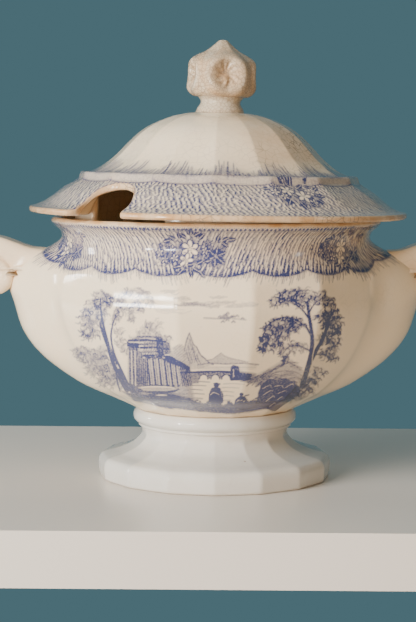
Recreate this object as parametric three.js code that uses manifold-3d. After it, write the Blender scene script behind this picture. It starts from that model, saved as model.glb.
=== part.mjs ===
// A pedestal soup tureen in glazed earthenware: a panelled bowl drawn out into a lobe at each end,
// a sixteen-sided foot, two closed scroll handles, and a lift-off lid with a ladle notch and a bud finial.
// Millimetres, +Z up. The origin is on the floor under the axis. The front is -Y and the handles lie along X.
import * as THREE from "three";
import { mergeVertices } from "three/addons/utils/BufferGeometryUtils.js";
import Module from "manifold-3d";

const wasm = await Module();
wasm.setup();

// Driving dimensions

const GAP = 0.3; // clay pieces that are luted together meet across this gap

const PANEL_EDGES = [12, 36, 62.5]; // plan angles from the front, in degrees, of the bowl's panel edges
const LOBE_START = 62.5; // plan angle where the end lobe leaves the round bowl
const LOBE_SHARPNESS = 2.4; // higher makes the lobe's nose narrower
const BOWL_QUADRANT = [0, 6, 12, 20, 28, 36, 44.8, 53.6, 62.5, 68, 73, 78, 82, 86, 90];

const PANELS_FADE = [126, 146]; // heights between which the bowl's panels die away into the round neck
const BOWL_RINGS = 1.5; // rings per outline point, outside
const BOWL_INSIDE_RINGS = 1.2;

const BOWL_BASE_R = 49.5;
const BOWL_BASE_Z = 43.9;

const FOOT_SIDES = 16;
const FOOT_R = 74.5;
const FOOT_TOP_Z = 32.3;
const FOOT_INNER_TOP_R = 40;
const FOOT_INNER_BASE_R = 61;
const FOOT_WAIST_Z = 29; // above this the foot's sides are nearly round
const FOOT_WAIST_SIDES = 0.3;

const COLLAR_R = 52.2;
const COLLAR_INNER_R = 40;
const COLLAR_FILLET_R = 48.8;
const BEAD_BULGE = 0.8; // the bead's depth as a share of half its height

const LID_SIDES = 16;
const LID_TURN = -2.3; // degrees that the lid is turned on the bowl, which takes its sides round with it
const LID_R = 119.4;
const LID_TOP_Z = 231;
const LID_SEAT_Z = 167.1; // the flat underside that rests on the bowl's rim where the lid leans lowest
const LID_LEAN = 0.8; // degrees that the fired lid sits out of level, down towards +X
const LID_SHIFT = 1.1; // the lid sits this far towards +X
const DOME_SIDES_START = [12, 26]; // radii between which the dome's sides come in
const BRIM_SIDES_FADE = [88, 114]; // radii between which they die away into the round brim

const NOTCH_ANGLE = -38.5; // plan angle of the ladle notch
const NOTCH_HALF_WIDTH = 17.9;
const NOTCH_CENTRE_R = 108.5; // centre of the notch's round inner end
const NOTCH_LIP = 4; // radius that opens the mouth of the notch
const SCOOP_SPARE = 9; // how far the thinned wall reaches past the notch

const FLANGE_R = 91;
const FLANGE_WALL = 4.4;
const FLANGE_BOTTOM_Z = 156;
const FLANGE_CHAMFER = [0.8, 2];
const FLANGE_TOP_Z = [179.8, 184]; // outside and inside, a little under the lid's sloping underside
const FLANGE_GATE_SPARE = 11;

const FINIAL_STEM_TOP_Z = 241;
const FINIAL_LEAN = 1.2; // degrees, as luted on by hand
const BUD_SIDES = 4;
const BUD_TURN = 12; // degrees that the bud is turned on its stem
const BUD_DIMPLE = 3.6;
const BUD_DIMPLE_Z = 252.5;
const BUD_DIMPLE_ANGLE = 0.34; // its reach round the bud, in radians
const BUD_DIMPLE_HEIGHT = 5.4; // its reach up and down
const BUD_SQUARENESS = 0.05;

const HANDLE_WIDTH = 28;
const HANDLE_BEVEL = 3;
const HANDLE_FLARE = [133, 100]; // along X, where the strap starts to spread and where it is widest
const HANDLE_SPREAD = 22; // what the flare adds on each side, at the strap's underside
const HANDLE_SPREAD_Z = [146, 126]; // the spread grows from nothing at the first height to all of it at the second
const HANDLE_DROOP = 4; // how far its outer edges fall
const SCROLL_X = 139.6;
const SCROLL_Z = 127.6;
const SCROLL_R = 12.1;

// Outlines, as [radius, height] points that smooth curves pass through

// The two bowl outlines have matching points, so a section between them mixes the two.
const BOWL_SIDE = [
  [BOWL_BASE_R, BOWL_BASE_Z],
  [61, 51.2],
  [74, 59],
  [90.4, 76],
  [101, 95.5],
  [105.8, 111],
  [105.9, 121],
  [104.6, 131],
  [100.5, 138.5],
  [97.2, 144.5],
  [96.5, 151],
  [98.6, 156.5],
  [102.4, 160.2],
  [104.4, 162.6],
];
const BOWL_LOBE = [
  [BOWL_BASE_R, BOWL_BASE_Z],
  [66, 50.4],
  [88, 60.3],
  [110, 76.2],
  [122.5, 92],
  [128.6, 110.5],
  [131.6, 121],
  [127.5, 133.5],
  [117, 142],
  [106.5, 145.8],
  [98.4, 151.5],
  [98.6, 156.5],
  [102.4, 160.2],
  [104.4, 162.6],
];
const BOWL_LIP = [
  [103.8, 164.6],
  [101.6, 165.3],
  [99.4, 164.5],
  [98, 162.4],
];
const BOWL_INSIDE_SIDE = [
  [94.6, 157],
  [90.5, 151],
  [91.4, 144],
  [97, 135],
  [99.8, 121],
  [99.8, 111],
  [95.2, 98],
  [85.2, 80],
  [70, 64.4],
  [50, 53],
  [30, 50],
];
const BOWL_INSIDE_LOBE = [
  [94.6, 157],
  [91.5, 151],
  [98, 141.5],
  [112, 134.5],
  [123, 121],
  [121.4, 110.5],
  [115.5, 95],
  [103.5, 80.5],
  [83, 65.5],
  [54, 53],
  [30, 50],
];

const FOOT_OUTSIDE = [
  [46.9, FOOT_TOP_Z],
  [46.6, 28],
  [48.4, 24.6],
  [53.4, 20.4],
  [61.8, 16.8],
  [69.4, 14.8],
  [72.9, 13.2],
  [FOOT_R, 9.6],
  [74.4, 4],
  [73.6, 0],
];
const FOOT_INSIDE = [
  [FOOT_INNER_BASE_R, 0],
  [59, 6],
  [48, 13],
  [42, 20],
  [FOOT_INNER_TOP_R, FOOT_TOP_Z],
];

const LID_OUTSIDE = [
  [15.2, LID_TOP_Z],
  [21.8, 230.4],
  [32, 227.9],
  [43.8, 222.8],
  [51.5, 217.6],
  [57, 212.5],
  [61.8, 207.4],
  [66.9, 202.3],
  [73.3, 197.2],
  [79, 194],
  [84.6, 192],
];
const LID_RING = [
  [86, 192.6],
  [88, 191.6],
  [88.8, 189.4],
  [89.2, 187.8],
];
const LID_BRIM = [
  [91.8, 186.6],
  [95.6, 184.4],
  [100.4, 181.2],
  [104.8, 177.6],
  [109.4, 174.1],
  [114, 171.8],
  [117.8, 170.6],
  [119.2, 170],
  [LID_R, 168.9],
  [118.8, 167.4],
  [117, 166.9],
];
const LID_INSIDE = [
  [106, LID_SEAT_Z],
  [98, LID_SEAT_Z],
  [96, 171.5],
  [93.6, 177],
  [90, 181.6],
  [86, 185],
  [80, 188.4],
  [73, 192],
  [60, 202.2],
  [48, 212],
  [30, 221.6],
  [14, 225],
];
const SCOOP_OUTLINE = [
  [0, 150],
  [110.6, 150],
  [110.6, 168.6],
  [104.8, 172.8],
  [100.4, 176.4],
  [95.6, 179.6],
  [92, 181.6],
  [0, 181.6],
];

const STEM_OUTLINE = [
  [14.9, LID_TOP_Z + GAP],
  [14.6, 233.4],
  [12.7, 236.4],
  [12.7, 238.6],
  [14.4, FINIAL_STEM_TOP_Z],
];
const BUD_OUTLINE = [
  [13.6, FINIAL_STEM_TOP_Z + GAP],
  [18.4, 242.2],
  [21.6, 245.4],
  [22.6, 250],
  [22.4, 256.6],
  [20.6, 262.4],
  [16, 266.4],
  [11, 269.2],
  [6.4, 272.8],
  [2.6, 276.2],
];

// Shape helpers

const radians = THREE.MathUtils.degToRad;

// A plan position at an angle from the front, turning towards +X.
function place(radius, angle, z) {
  return new THREE.Vector3(radius * Math.sin(angle), -radius * Math.cos(angle), z);
}

// Evenly spread points on a smooth curve through [radius, height] points.
function smooth(points, steps) {
  const curve = new THREE.SplineCurve(points.map(([r, z]) => new THREE.Vector2(r, z)));
  return Array.from({ length: steps + 1 }, (_, i) => curve.getPoint(i / steps));
}

// Radius of a flat-sided section relative to its corners, between two corner angles.
function flatBetween(angle, low, high) {
  const middle = (low + high) / 2;
  return Math.cos((high - low) / 2) / Math.cos(angle - middle);
}

// The same for a regular polygon with a corner at the front.
function polygon(angle, sides) {
  const side = (2 * Math.PI) / sides;
  const low = Math.floor(angle / side + 1e-9) * side;
  return flatBetween(angle, low, low + side);
}

function fadedPolygon(angle, sides, amount) {
  return 1 + (polygon(angle, sides) - 1) * amount;
}

// A closed surface over a stack of rings that all have the same number of points, turning the same way.
// The ends are closed by fans, or joined to each other when the stack is a loop.
function skin(rings, loop = false) {
  const count = rings[0].length;
  const points = rings.flat();
  const index = [];
  const rows = loop ? rings.length : rings.length - 1;
  for (let row = 0; row < rows; row++) {
    const a = row * count;
    const b = ((row + 1) % rings.length) * count;
    for (let j = 0; j < count; j++) {
      const k = (j + 1) % count;
      index.push(a + j, a + k, b + k, a + j, b + k, b + j);
    }
  }
  if (!loop) {
    const last = (rings.length - 1) * count;
    const first = points.push(middleOf(rings[0])) - 1;
    const end = points.push(middleOf(rings.at(-1))) - 1;
    for (let j = 0; j < count; j++) {
      const k = (j + 1) % count;
      index.push(k, j, first, last + j, last + k, end);
    }
  }
  const geometry = new THREE.BufferGeometry().setFromPoints(points);
  geometry.setIndex(index);
  return geometry;
}

function middleOf(ring) {
  const middle = new THREE.Vector3();
  ring.forEach((p) => middle.add(p));
  return middle.divideScalar(ring.length);
}

function solid(geometry) {
  const bare = geometry.index ? geometry.toNonIndexed() : geometry.clone();
  bare.deleteAttribute("normal");
  bare.deleteAttribute("uv");
  const merged = mergeVertices(bare, 1e-4);
  const vertProperties = new Float32Array(merged.attributes.position.array);
  const triVerts = new Uint32Array(merged.index.array);
  return new wasm.Manifold(new wasm.Mesh({ numProp: 3, vertProperties, triVerts }));
}

function geometryOf(body) {
  const mesh = body.getMesh();
  const geometry = new THREE.BufferGeometry();
  geometry.setAttribute("position", new THREE.BufferAttribute(mesh.vertProperties, 3));
  geometry.setIndex(new THREE.BufferAttribute(mesh.triVerts, 1));
  return geometry;
}

// Materials

function ware(color, roughness) {
  return new THREE.MeshStandardMaterial({ color, roughness, metalness: 0 });
}

const printedWare = ware(0xd9d7d6, 0.16);
const plainWare = ware(0xe4e1dc, 0.18);
const stainedWare = ware(0xd8ccba, 0.24);

function piece(name, geometry, material) {
  geometry.computeVertexNormals();
  const mesh = new THREE.Mesh(geometry, material);
  mesh.name = name;
  return mesh;
}

// Bowl

// Plan angles right round the bowl, mirrored from one quadrant.
function bowlAngles() {
  const half = BOWL_QUADRANT.concat(BOWL_QUADRANT.slice(0, -1).reverse().map((a) => 180 - a));
  const others = half.slice(1, -1).map((a) => a + 180);
  return half.concat(others).map(radians);
}

// The angle folded into the front right quadrant.
function folded(angle) {
  return Math.abs(Math.atan2(Math.abs(Math.sin(angle)), Math.abs(Math.cos(angle))));
}

function bowlPanels(angle) {
  const a = folded(angle);
  const corners = [-PANEL_EDGES[0], ...PANEL_EDGES].map(radians);
  const high = corners.findIndex((corner, i) => i > 0 && a <= corner + 1e-9);
  return high < 0 ? 1 : flatBetween(a, corners[high - 1], corners[high]);
}

function lobeShare(angle) {
  const away = (Math.PI / 2 - folded(angle)) / radians(90 - LOBE_START);
  return away >= 1 ? 0 : Math.cos((away * Math.PI) / 2) ** LOBE_SHARPNESS;
}

// One ring of the bowl. Panels is how far the section is flat-sided rather than round.
function bowlRing(side, lobe, panels, grow = 0) {
  return bowlAngles().map((angle) => {
    const p = side.clone().lerp(lobe, lobeShare(angle));
    const flat = 1 + (bowlPanels(angle) - 1) * panels;
    return place(p.x * flat + grow, angle, p.y);
  });
}

function bowlOutside(grow = 0) {
  const steps = Math.round(BOWL_RINGS * (BOWL_SIDE.length - 1));
  const side = smooth(BOWL_SIDE, steps);
  const lobe = smooth(BOWL_LOBE, steps);
  return side.map((p, i) => {
    const panels = 1 - THREE.MathUtils.smoothstep(p.y, ...PANELS_FADE);
    return bowlRing(p, lobe[i], panels, grow);
  });
}

function bowlBody() {
  const lip = BOWL_LIP.map(([r, z]) => new THREE.Vector2(r, z)).map((p) => bowlRing(p, p, 0));
  const steps = Math.round(BOWL_INSIDE_RINGS * (BOWL_INSIDE_SIDE.length - 1));
  const side = smooth(BOWL_INSIDE_SIDE, steps);
  const lobe = smooth(BOWL_INSIDE_LOBE, steps);
  const inside = side.map((p, i) => bowlRing(p, lobe[i], 0));
  return skin([...bowlOutside(), ...lip, ...inside]);
}

// The space that the bowl and its clearance take up, closed across the rim.
function bowlEnvelope() {
  const raised = bowlOutside(GAP).map((ring) => ring.map((p) => p.setZ(p.z + GAP)));
  return solid(skin(raised));
}

// Foot

function ringAngles(sides, perSide) {
  const count = sides * perSide;
  return Array.from({ length: count }, (_, i) => (i * 2 * Math.PI) / count);
}

function footRing(p, panels) {
  return ringAngles(FOOT_SIDES, 3).map((angle) => {
    return place(p.x * fadedPolygon(angle, FOOT_SIDES, panels), angle, p.y);
  });
}

// A tube with a flat-sided outside and a round inside, open at both ends.
function footPedestal() {
  const outside = smooth(FOOT_OUTSIDE, 12).map((p) => {
    return footRing(p, p.y > FOOT_WAIST_Z ? FOOT_WAIST_SIDES : 1);
  });
  const inside = smooth(FOOT_INSIDE, 4).map((p) => footRing(p, 0));
  return skin([...outside.reverse(), ...inside.reverse()], true);
}

// A bead with a thin fillet under it.
function footCollar() {
  const low = FOOT_TOP_Z + GAP;
  const high = BOWL_BASE_Z - GAP;
  const beadMiddle = low + 6.4;
  const beadHalf = high - beadMiddle;
  const bulge = beadHalf * BEAD_BULGE;
  const outline = [new THREE.Vector2(COLLAR_INNER_R, low)];
  outline.push(new THREE.Vector2(COLLAR_FILLET_R - 0.6, low));
  outline.push(new THREE.Vector2(COLLAR_FILLET_R, low + 1.2));
  for (let i = 0; i <= 5; i++) {
    const turn = -Math.PI / 2 + (i * Math.PI) / 5;
    const r = COLLAR_R - bulge + bulge * Math.cos(turn);
    outline.push(new THREE.Vector2(r, beadMiddle + beadHalf * Math.sin(turn)));
  }
  outline.push(new THREE.Vector2(COLLAR_INNER_R, high));
  outline.push(outline[0].clone());
  return new THREE.LatheGeometry(outline, 40).rotateX(Math.PI / 2);
}

// Handles

// A closed scroll: the strap leaves the shoulder, rises, and curls down and in to a roll under itself.
function handleOutline() {
  const shape = new THREE.Shape();
  shape.moveTo(104, 143.5);
  shape.bezierCurveTo(110, 145.6, 119, 145.8, 127, 149);
  shape.bezierCurveTo(133, 151.8, 138, 153, 145, 152.6);
  shape.bezierCurveTo(156, 152, 164.4, 143, 164.2, 132.4);
  shape.bezierCurveTo(164, 123, 156, 115.8, SCROLL_X + 1, SCROLL_Z - SCROLL_R);
  shape.absarc(SCROLL_X, SCROLL_Z, SCROLL_R, -Math.PI / 2, -Math.PI * 0.97, true);
  shape.lineTo(127.2, 121);
  shape.lineTo(104, 122);
  return shape;
}

// Spreads the strap's root over the bowl's shoulder like a saddle.
function flareRoot(strap) {
  const at = strap.attributes.position;
  const [start, widest] = HANDLE_FLARE;
  for (let i = 0; i < at.count; i++) {
    const share = THREE.MathUtils.clamp((start - at.getX(i)) / (start - widest), 0, 1) ** 2;
    const across = at.getY(i) / (HANDLE_WIDTH / 2);
    const [high, low] = HANDLE_SPREAD_Z;
    const depth = THREE.MathUtils.clamp((high - at.getZ(i)) / (high - low), 0, 1);
    at.setY(i, at.getY(i) + across * HANDLE_SPREAD * share * depth);
    at.setZ(i, at.getZ(i) - HANDLE_DROOP * share * across ** 2);
  }
}

function handle(direction, envelope) {
  const depth = HANDLE_WIDTH - 2 * HANDLE_BEVEL;
  const strap = new THREE.ExtrudeGeometry(handleOutline(), {
    depth,
    bevelSize: HANDLE_BEVEL,
    bevelThickness: HANDLE_BEVEL,
    bevelOffset: -HANDLE_BEVEL,
    bevelSegments: 2,
    curveSegments: 6,
  });
  strap.translate(0, 0, -depth / 2).rotateX(Math.PI / 2);
  flareRoot(strap);
  if (direction < 0) strap.rotateZ(Math.PI);
  const cut = solid(strap).subtract(envelope).decompose();
  // The largest piece is the handle outside the bowl.
  cut.sort((a, b) => b.volume() - a.volume());
  return geometryOf(cut[0]);
}

// Lid

function lidRing(p, panels) {
  return ringAngles(LID_SIDES, 3).map((angle) => {
    const r = p.x * fadedPolygon(angle, LID_SIDES, panels);
    return place(r, angle + radians(LID_TURN), p.y);
  });
}

function notchCutter() {
  const mouth = LID_R + 2;
  const lip = NOTCH_HALF_WIDTH + NOTCH_LIP;
  const shape = new THREE.Shape();
  shape.moveTo(LID_R + 12, -lip);
  shape.lineTo(mouth, -lip);
  shape.quadraticCurveTo(mouth - NOTCH_LIP, -NOTCH_HALF_WIDTH, mouth - 2 * NOTCH_LIP, -NOTCH_HALF_WIDTH);
  shape.lineTo(NOTCH_CENTRE_R, -NOTCH_HALF_WIDTH);
  shape.absarc(NOTCH_CENTRE_R, 0, NOTCH_HALF_WIDTH, -Math.PI / 2, Math.PI / 2, true);
  shape.lineTo(mouth - 2 * NOTCH_LIP, NOTCH_HALF_WIDTH);
  shape.quadraticCurveTo(mouth - NOTCH_LIP, NOTCH_HALF_WIDTH, mouth, lip);
  shape.lineTo(LID_R + 12, lip);
  return notchPrism(shape);
}

// What thins the lid's wall from below round the notch: a wider notch under a slope like the brim's.
function scoopCutter() {
  const half = NOTCH_HALF_WIDTH + SCOOP_SPARE;
  const shape = new THREE.Shape();
  shape.moveTo(LID_R, -half);
  shape.lineTo(NOTCH_CENTRE_R, -half);
  shape.absarc(NOTCH_CENTRE_R, 0, half, -Math.PI / 2, Math.PI / 2, true);
  shape.lineTo(LID_R, half);
  const outline = SCOOP_OUTLINE.map(([r, z]) => new THREE.Vector2(r, z));
  const slope = solid(new THREE.LatheGeometry(outline, 64).rotateX(Math.PI / 2));
  return slope.intersect(notchPrism(shape));
}

// A tall prism over a plan shape that points towards the ladle notch.
function notchPrism(shape) {
  const height = 60;
  const prism = new THREE.ExtrudeGeometry(shape, { depth: height, bevelEnabled: false, curveSegments: 9 });
  return solid(turnToNotch(prism.translate(0, 0, LID_SEAT_Z - height / 2)));
}

// Turns a geometry that points along +X towards the ladle notch.
function turnToNotch(geometry) {
  return geometry.rotateZ(radians(NOTCH_ANGLE - 90));
}

function lidShell() {
  const dome = smooth(LID_OUTSIDE, 12).map((p) => {
    return lidRing(p, THREE.MathUtils.smoothstep(p.x, ...DOME_SIDES_START));
  });
  const ring = LID_RING.map(([r, z]) => lidRing(new THREE.Vector2(r, z), 1));
  const brim = LID_BRIM.map(([r, z]) => {
    return lidRing(new THREE.Vector2(r, z), 1 - THREE.MathUtils.smoothstep(r, ...BRIM_SIDES_FADE));
  });
  const inside = LID_INSIDE.map(([r, z]) => lidRing(new THREE.Vector2(r, z), 0));
  const rings = [...dome, ...ring, ...brim, ...inside].reverse();
  return geometryOf(solid(skin(rings)).subtract(notchCutter()).subtract(scoopCutter()));
}

// The locating flange drops inside the bowl's neck and is open at the notch.
function lidFlange() {
  const inner = FLANGE_R - FLANGE_WALL;
  const [chamferR, chamferZ] = FLANGE_CHAMFER;
  const [outerTop, innerTop] = FLANGE_TOP_Z;
  const outline = [
    new THREE.Vector2(inner, FLANGE_BOTTOM_Z),
    new THREE.Vector2(FLANGE_R - chamferR, FLANGE_BOTTOM_Z),
    new THREE.Vector2(FLANGE_R, FLANGE_BOTTOM_Z + chamferZ),
    new THREE.Vector2(FLANGE_R, outerTop),
    new THREE.Vector2(inner, innerTop),
    new THREE.Vector2(inner, FLANGE_BOTTOM_Z),
  ];
  const ring = solid(new THREE.LatheGeometry(outline, 48).rotateX(Math.PI / 2));
  const gateWidth = 2 * (NOTCH_HALF_WIDTH + FLANGE_GATE_SPARE);
  const gate = new THREE.BoxGeometry(30, gateWidth, 60).translate(FLANGE_R, 0, LID_SEAT_Z);
  return geometryOf(ring.subtract(solid(turnToNotch(gate))));
}

function finialStem() {
  const outline = smooth(STEM_OUTLINE, 6);
  outline.unshift(new THREE.Vector2(0, outline[0].y));
  outline.push(new THREE.Vector2(0, FINIAL_STEM_TOP_Z));
  return new THREE.LatheGeometry(outline, 28).rotateX(Math.PI / 2);
}

// A four-sided cushion drawn up to a point, with a round dimple in each face.
function finialBud() {
  const face = (2 * Math.PI) / BUD_SIDES;
  const rings = smooth(BUD_OUTLINE, 13).map((p) => {
    return ringAngles(BUD_SIDES, 8).map((angle) => {
      const across = angle - face * Math.round(angle / face);
      const swell = 1 - BUD_SQUARENESS * Math.cos(across * BUD_SIDES) ** 2;
      const rise = (p.y - BUD_DIMPLE_Z) / BUD_DIMPLE_HEIGHT;
      const dimple = Math.exp(-((across / BUD_DIMPLE_ANGLE) ** 2) - rise ** 2);
      return place(p.x * swell - BUD_DIMPLE * dimple, angle + radians(BUD_TURN), p.y);
    });
  });
  return skin(rings);
}

// Assembly

const tureen = new THREE.Group();
const envelope = bowlEnvelope();

tureen.add(piece("bowl_body", bowlBody(), printedWare));
tureen.add(piece("foot_collar", footCollar(), plainWare));
tureen.add(piece("foot_pedestal", footPedestal(), plainWare));
tureen.add(piece("handle_right", handle(1, envelope), plainWare));
tureen.add(piece("handle_left", handle(-1, envelope), plainWare));

// The lid leans about the middle of its seat.
const lid = new THREE.Group();
lid.position.set(LID_SHIFT, 0, LID_SEAT_Z);
lid.rotation.y = radians(LID_LEAN);
const lidPieces = new THREE.Group();
lidPieces.position.z = -LID_SEAT_Z;
lidPieces.add(piece("lid_shell", lidShell(), printedWare));
lidPieces.add(piece("lid_flange", lidFlange(), plainWare));

const finial = new THREE.Group();
finial.position.z = LID_TOP_Z;
finial.rotation.y = radians(FINIAL_LEAN);
const finialPieces = new THREE.Group();
finialPieces.position.z = GAP - LID_TOP_Z;
finialPieces.add(piece("finial_stem", finialStem(), stainedWare));
finialPieces.add(piece("finial_bud", finialBud(), stainedWare));
finial.add(finialPieces);
lidPieces.add(finial);
lid.add(lidPieces);
tureen.add(lid);

export default tureen;
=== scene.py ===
import math

import bpy
import numpy as np
from mathutils import Matrix, Vector


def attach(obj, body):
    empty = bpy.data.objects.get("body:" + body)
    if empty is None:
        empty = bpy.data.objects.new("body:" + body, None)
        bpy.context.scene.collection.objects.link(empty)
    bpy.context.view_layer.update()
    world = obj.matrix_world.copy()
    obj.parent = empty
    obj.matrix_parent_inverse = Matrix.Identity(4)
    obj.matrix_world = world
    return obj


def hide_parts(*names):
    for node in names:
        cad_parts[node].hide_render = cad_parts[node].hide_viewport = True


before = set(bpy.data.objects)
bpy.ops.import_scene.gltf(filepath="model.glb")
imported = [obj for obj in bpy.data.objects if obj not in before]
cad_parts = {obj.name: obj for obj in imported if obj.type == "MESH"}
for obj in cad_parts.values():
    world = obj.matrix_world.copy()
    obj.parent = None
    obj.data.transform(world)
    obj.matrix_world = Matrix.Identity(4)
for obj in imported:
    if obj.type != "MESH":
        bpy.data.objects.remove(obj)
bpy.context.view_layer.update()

# Lengths are millimetres, turned into metres as each mesh is made. Angles run from the front (-Y) towards +X.
MM = 0.001
TAU = 2 * math.pi

# ---------------------------------------------------------------- shape, as in the CAD source

PANEL_EDGES = [-12, 12, 36, 62.5]  # degrees from the front
PANEL_SOFTNESS = 1.1  # degrees either side of a panel's edge that are averaged
PANELS_FADE = (126, 146)  # heights between which the panels die away
LOBE_START = 62.5
LOBE_SHARPNESS = 2.4
BOWL_COLUMNS = 1240
BOWL_SPACING = (1.6, 0.58, 0.8, 2.2)  # between mesh rows: underneath, outside, over the lip and inside

# Outlines are (radius, height) pairs.

BOWL_SIDE = [
    (49.5, 43.7), (61, 51.2), (74, 59), (90.4, 76), (101, 95.5), (105.8, 111), (105.9, 121),
    (104.6, 131), (100.5, 138.5), (97.2, 144.5), (96.5, 151), (98.6, 156.5), (102.4, 160.2), (104.4, 162.6),
]
BOWL_LOBE = [
    (49.5, 43.7), (66, 50.4), (88, 60.3), (110, 76.2), (122.5, 92), (128.6, 110.5), (131.6, 121),
    (127.5, 133.5), (117, 142), (106.5, 145.8), (98.4, 151.5), (98.6, 156.5), (102.4, 160.2), (104.4, 162.6),
]
BOWL_LIP = [(103.8, 164.6), (101.6, 165.3), (99.4, 164.5), (98, 162.4)]
BOWL_INSIDE_SIDE = [
    (94.6, 157), (90.5, 151), (91.4, 144), (97, 135), (99.8, 121), (99.8, 111),
    (95.2, 98), (85.2, 80), (70, 64.4), (50, 53), (30, 50),
]
BOWL_INSIDE_LOBE = [
    (94.6, 157), (91.5, 151), (98, 141.5), (112, 134.5), (123, 121), (121.4, 110.5),
    (115.5, 95), (103.5, 80.5), (83, 65.5), (54, 53), (30, 50),
]

FOOT_SIDES = 16
FOOT_WAIST_Z = 29
FOOT_OUTSIDE = [
    (47.4, 32.7), (46.6, 28), (48.4, 24.6), (53.4, 20.4), (61.8, 16.8), (69.4, 14.8),
    (72.9, 13.2), (74.5, 9.6), (74.4, 4), (73.9, 0.9), (72.6, 0),
]
FOOT_INSIDE = [(61.4, 0), (60.4, 0.8), (59, 6), (48, 13), (42, 20), (40, 32.7)]
COLLAR_OUTLINE = [
    (40, 32.5), (48, 32.5), (48.7, 33.4), (48.9, 34.4), (50.4, 35.4), (51.8, 37), (52.2, 39.1),
    (51.8, 41.2), (50.6, 42.8), (49.2, 43.7), (40, 43.75),
]

LID_SIDES = 16
LID_TURN = -2.3  # degrees that the lid's panels are turned on the bowl
LID_R = 119.4
LID_TOP_Z = 231
LID_SEAT_Z = 167.1
LID_LEAN = 0.8  # degrees, down towards +X
LID_SHIFT = 1.1  # towards +X
LID_EDGE_RADIUS = 1.6
LID_COLUMNS = 1280
LID_HOLE_R = 14  # the innermost rows, which the caps close under the stem
DOME_R = 84.6  # where the dome's even rows end and the brim's rows begin
DOME_ROW = 1.15
DOME_UNDER_ROW = 3
BRIM_ROWS = 56
BRIM_UNDER_ROWS = 26
LID_TOP = [
    (15.2, 231), (21.8, 230.4), (32, 227.9), (43.8, 222.8), (51.5, 217.6), (57, 212.5), (61.8, 207.4),
    (66.9, 202.3), (73.3, 197.2), (79, 194), (84.6, 191.9), (85.8, 192.7), (87.4, 192.6), (88.6, 191),
    (89.3, 188.6), (91.8, 186.7), (95.6, 184.4), (100.4, 181.2), (104.8, 177.6), (109.4, 174.1),
    (114, 171.8), (117.8, 170.7), (121, 170.3),
]
LID_UNDER = [
    (14, 225), (30, 221.6), (48, 212), (60, 202.2), (73, 192), (80, 188.4), (86, 185), (90, 181.6),
    (93.6, 177), (96, 171.5), (97.2, 168.2), (99, 167.2), (102, 167.1), (106, 167.1), (112, 167),
    (116.6, 166.9), (121, 166.8),
]

NOTCH_ANGLE = -38.5  # degrees
NOTCH_HALF_WIDTH = 17.9
NOTCH_CENTRE_R = 108.5
SCOOP_SPARE = 9  # how far past the notch the lid is thinned from below
SCOOP_WALL = 4.9
SCOOP_OUTER_R = 110.6

FLANGE_R = 91
FLANGE_WALL = 4.4
FLANGE_BOTTOM_Z = 156
FLANGE_GATE = 18.6  # degrees from the notch to each end of the flange

STEM_BASE = [(0.5, 230.6), (13.9, 230.6)]
STEM_OUTLINE = [(15.8, 230.6), (15.2, 231.5), (14.5, 233.4), (12.7, 236.2), (12.7, 238.2), (14.4, 240.4)]
STEM_TOP = [(0.5, 241)]
BUD_OUTLINE = [
    (14.2, 240.3), (18.6, 241.4), (21.7, 245), (22.6, 250), (22.4, 256.6), (20.6, 262.4),
    (16, 266.4), (11, 269.2), (6.4, 272.8), (2.6, 276.2),
]
BUD_TURN = 12  # degrees
FINIAL_LEAN = 1.2  # degrees more than the lid
FINIAL_LIFT = 0.3  # the gap under the CAD bud, which this closes

HANDLE_HALF = 14  # half the scroll's breadth
HANDLE_EDGE = 5.5
HANDLE_FLARE = (133, 100)  # along X, where the strap starts to spread and where it is widest
HANDLE_SPREAD = 22
HANDLE_SPREAD_Z = (146, 126)  # heights between which the spread comes in
HANDLE_DROOP = 4
SCROLL_X = 139.6
SCROLL_Z = 127.6
SCROLL_R = 12.1


# ---------------------------------------------------------------- curves and meshes

def smoothstep(x, low, high):
    t = np.clip((np.asarray(x, float) - low) / (high - low), 0, 1)
    return t * t * (3 - 2 * t)


def curve(points, t):
    """Points at t from 0 to 1 on a uniform Catmull-Rom curve through the given points."""
    p = np.array(points, float)
    last = len(p) - 1
    s = np.clip(np.asarray(t, float) * last, 0, last - 1e-9)
    i = s.astype(int)
    w = (s - i)[:, None]
    before, a, b, after = p[np.maximum(i - 1, 0)], p[i], p[i + 1], p[np.minimum(i + 2, last)]
    v0, v1 = (b - before) / 2, (after - a) / 2
    return (2 * a - 2 * b + v0 + v1) * w**3 + (3 * b - 3 * a - 2 * v0 - v1) * w**2 + v0 * w + a


def spaced(points, spacing, start=0.0, end=1.0):
    """Values of t between start and end that lie a given length apart along the curve."""
    t = np.linspace(start, end, 3000)
    p = curve(points, t)
    length = np.concatenate([[0], np.cumsum(np.linalg.norm(np.diff(p, axis=0), axis=1))])
    count = max(2, int(round(length[-1] / spacing)) + 1)
    return np.interp(np.linspace(0, length[-1], count), length, t)


def to_segment(x, y, a, b):
    """How far along the segment from a to b each point lies, from 0 to 1, and how far away from it."""
    d = b - a
    t = np.clip(((x - a[0]) * d[0] + (y - a[1]) * d[1]) / max(d @ d, 1e-9), 0, 1)
    return t, np.hypot(x - a[0] - t * d[0], y - a[1] - t * d[1])


def bump(x, middle, width):
    """A smooth rise to 1 at the middle."""
    return np.exp(-(((x - middle) / width) ** 2))


def full_turn(count):
    return np.linspace(-np.pi, np.pi, count, endpoint=False)


def place(radius, angle, z):
    """Points from radius, plan angle and height."""
    radius, angle, z = np.broadcast_arrays(radius, angle, z)
    return np.stack([radius * np.sin(angle), -radius * np.cos(angle), z], -1)


def volume_of(points, faces):
    """Six times the signed volume inside the triangles."""
    a, b, c = points[faces[:, 0]], points[faces[:, 1]], points[faces[:, 2]]
    return np.einsum("ij,ij->i", a, np.cross(b, c)).sum()


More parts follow.
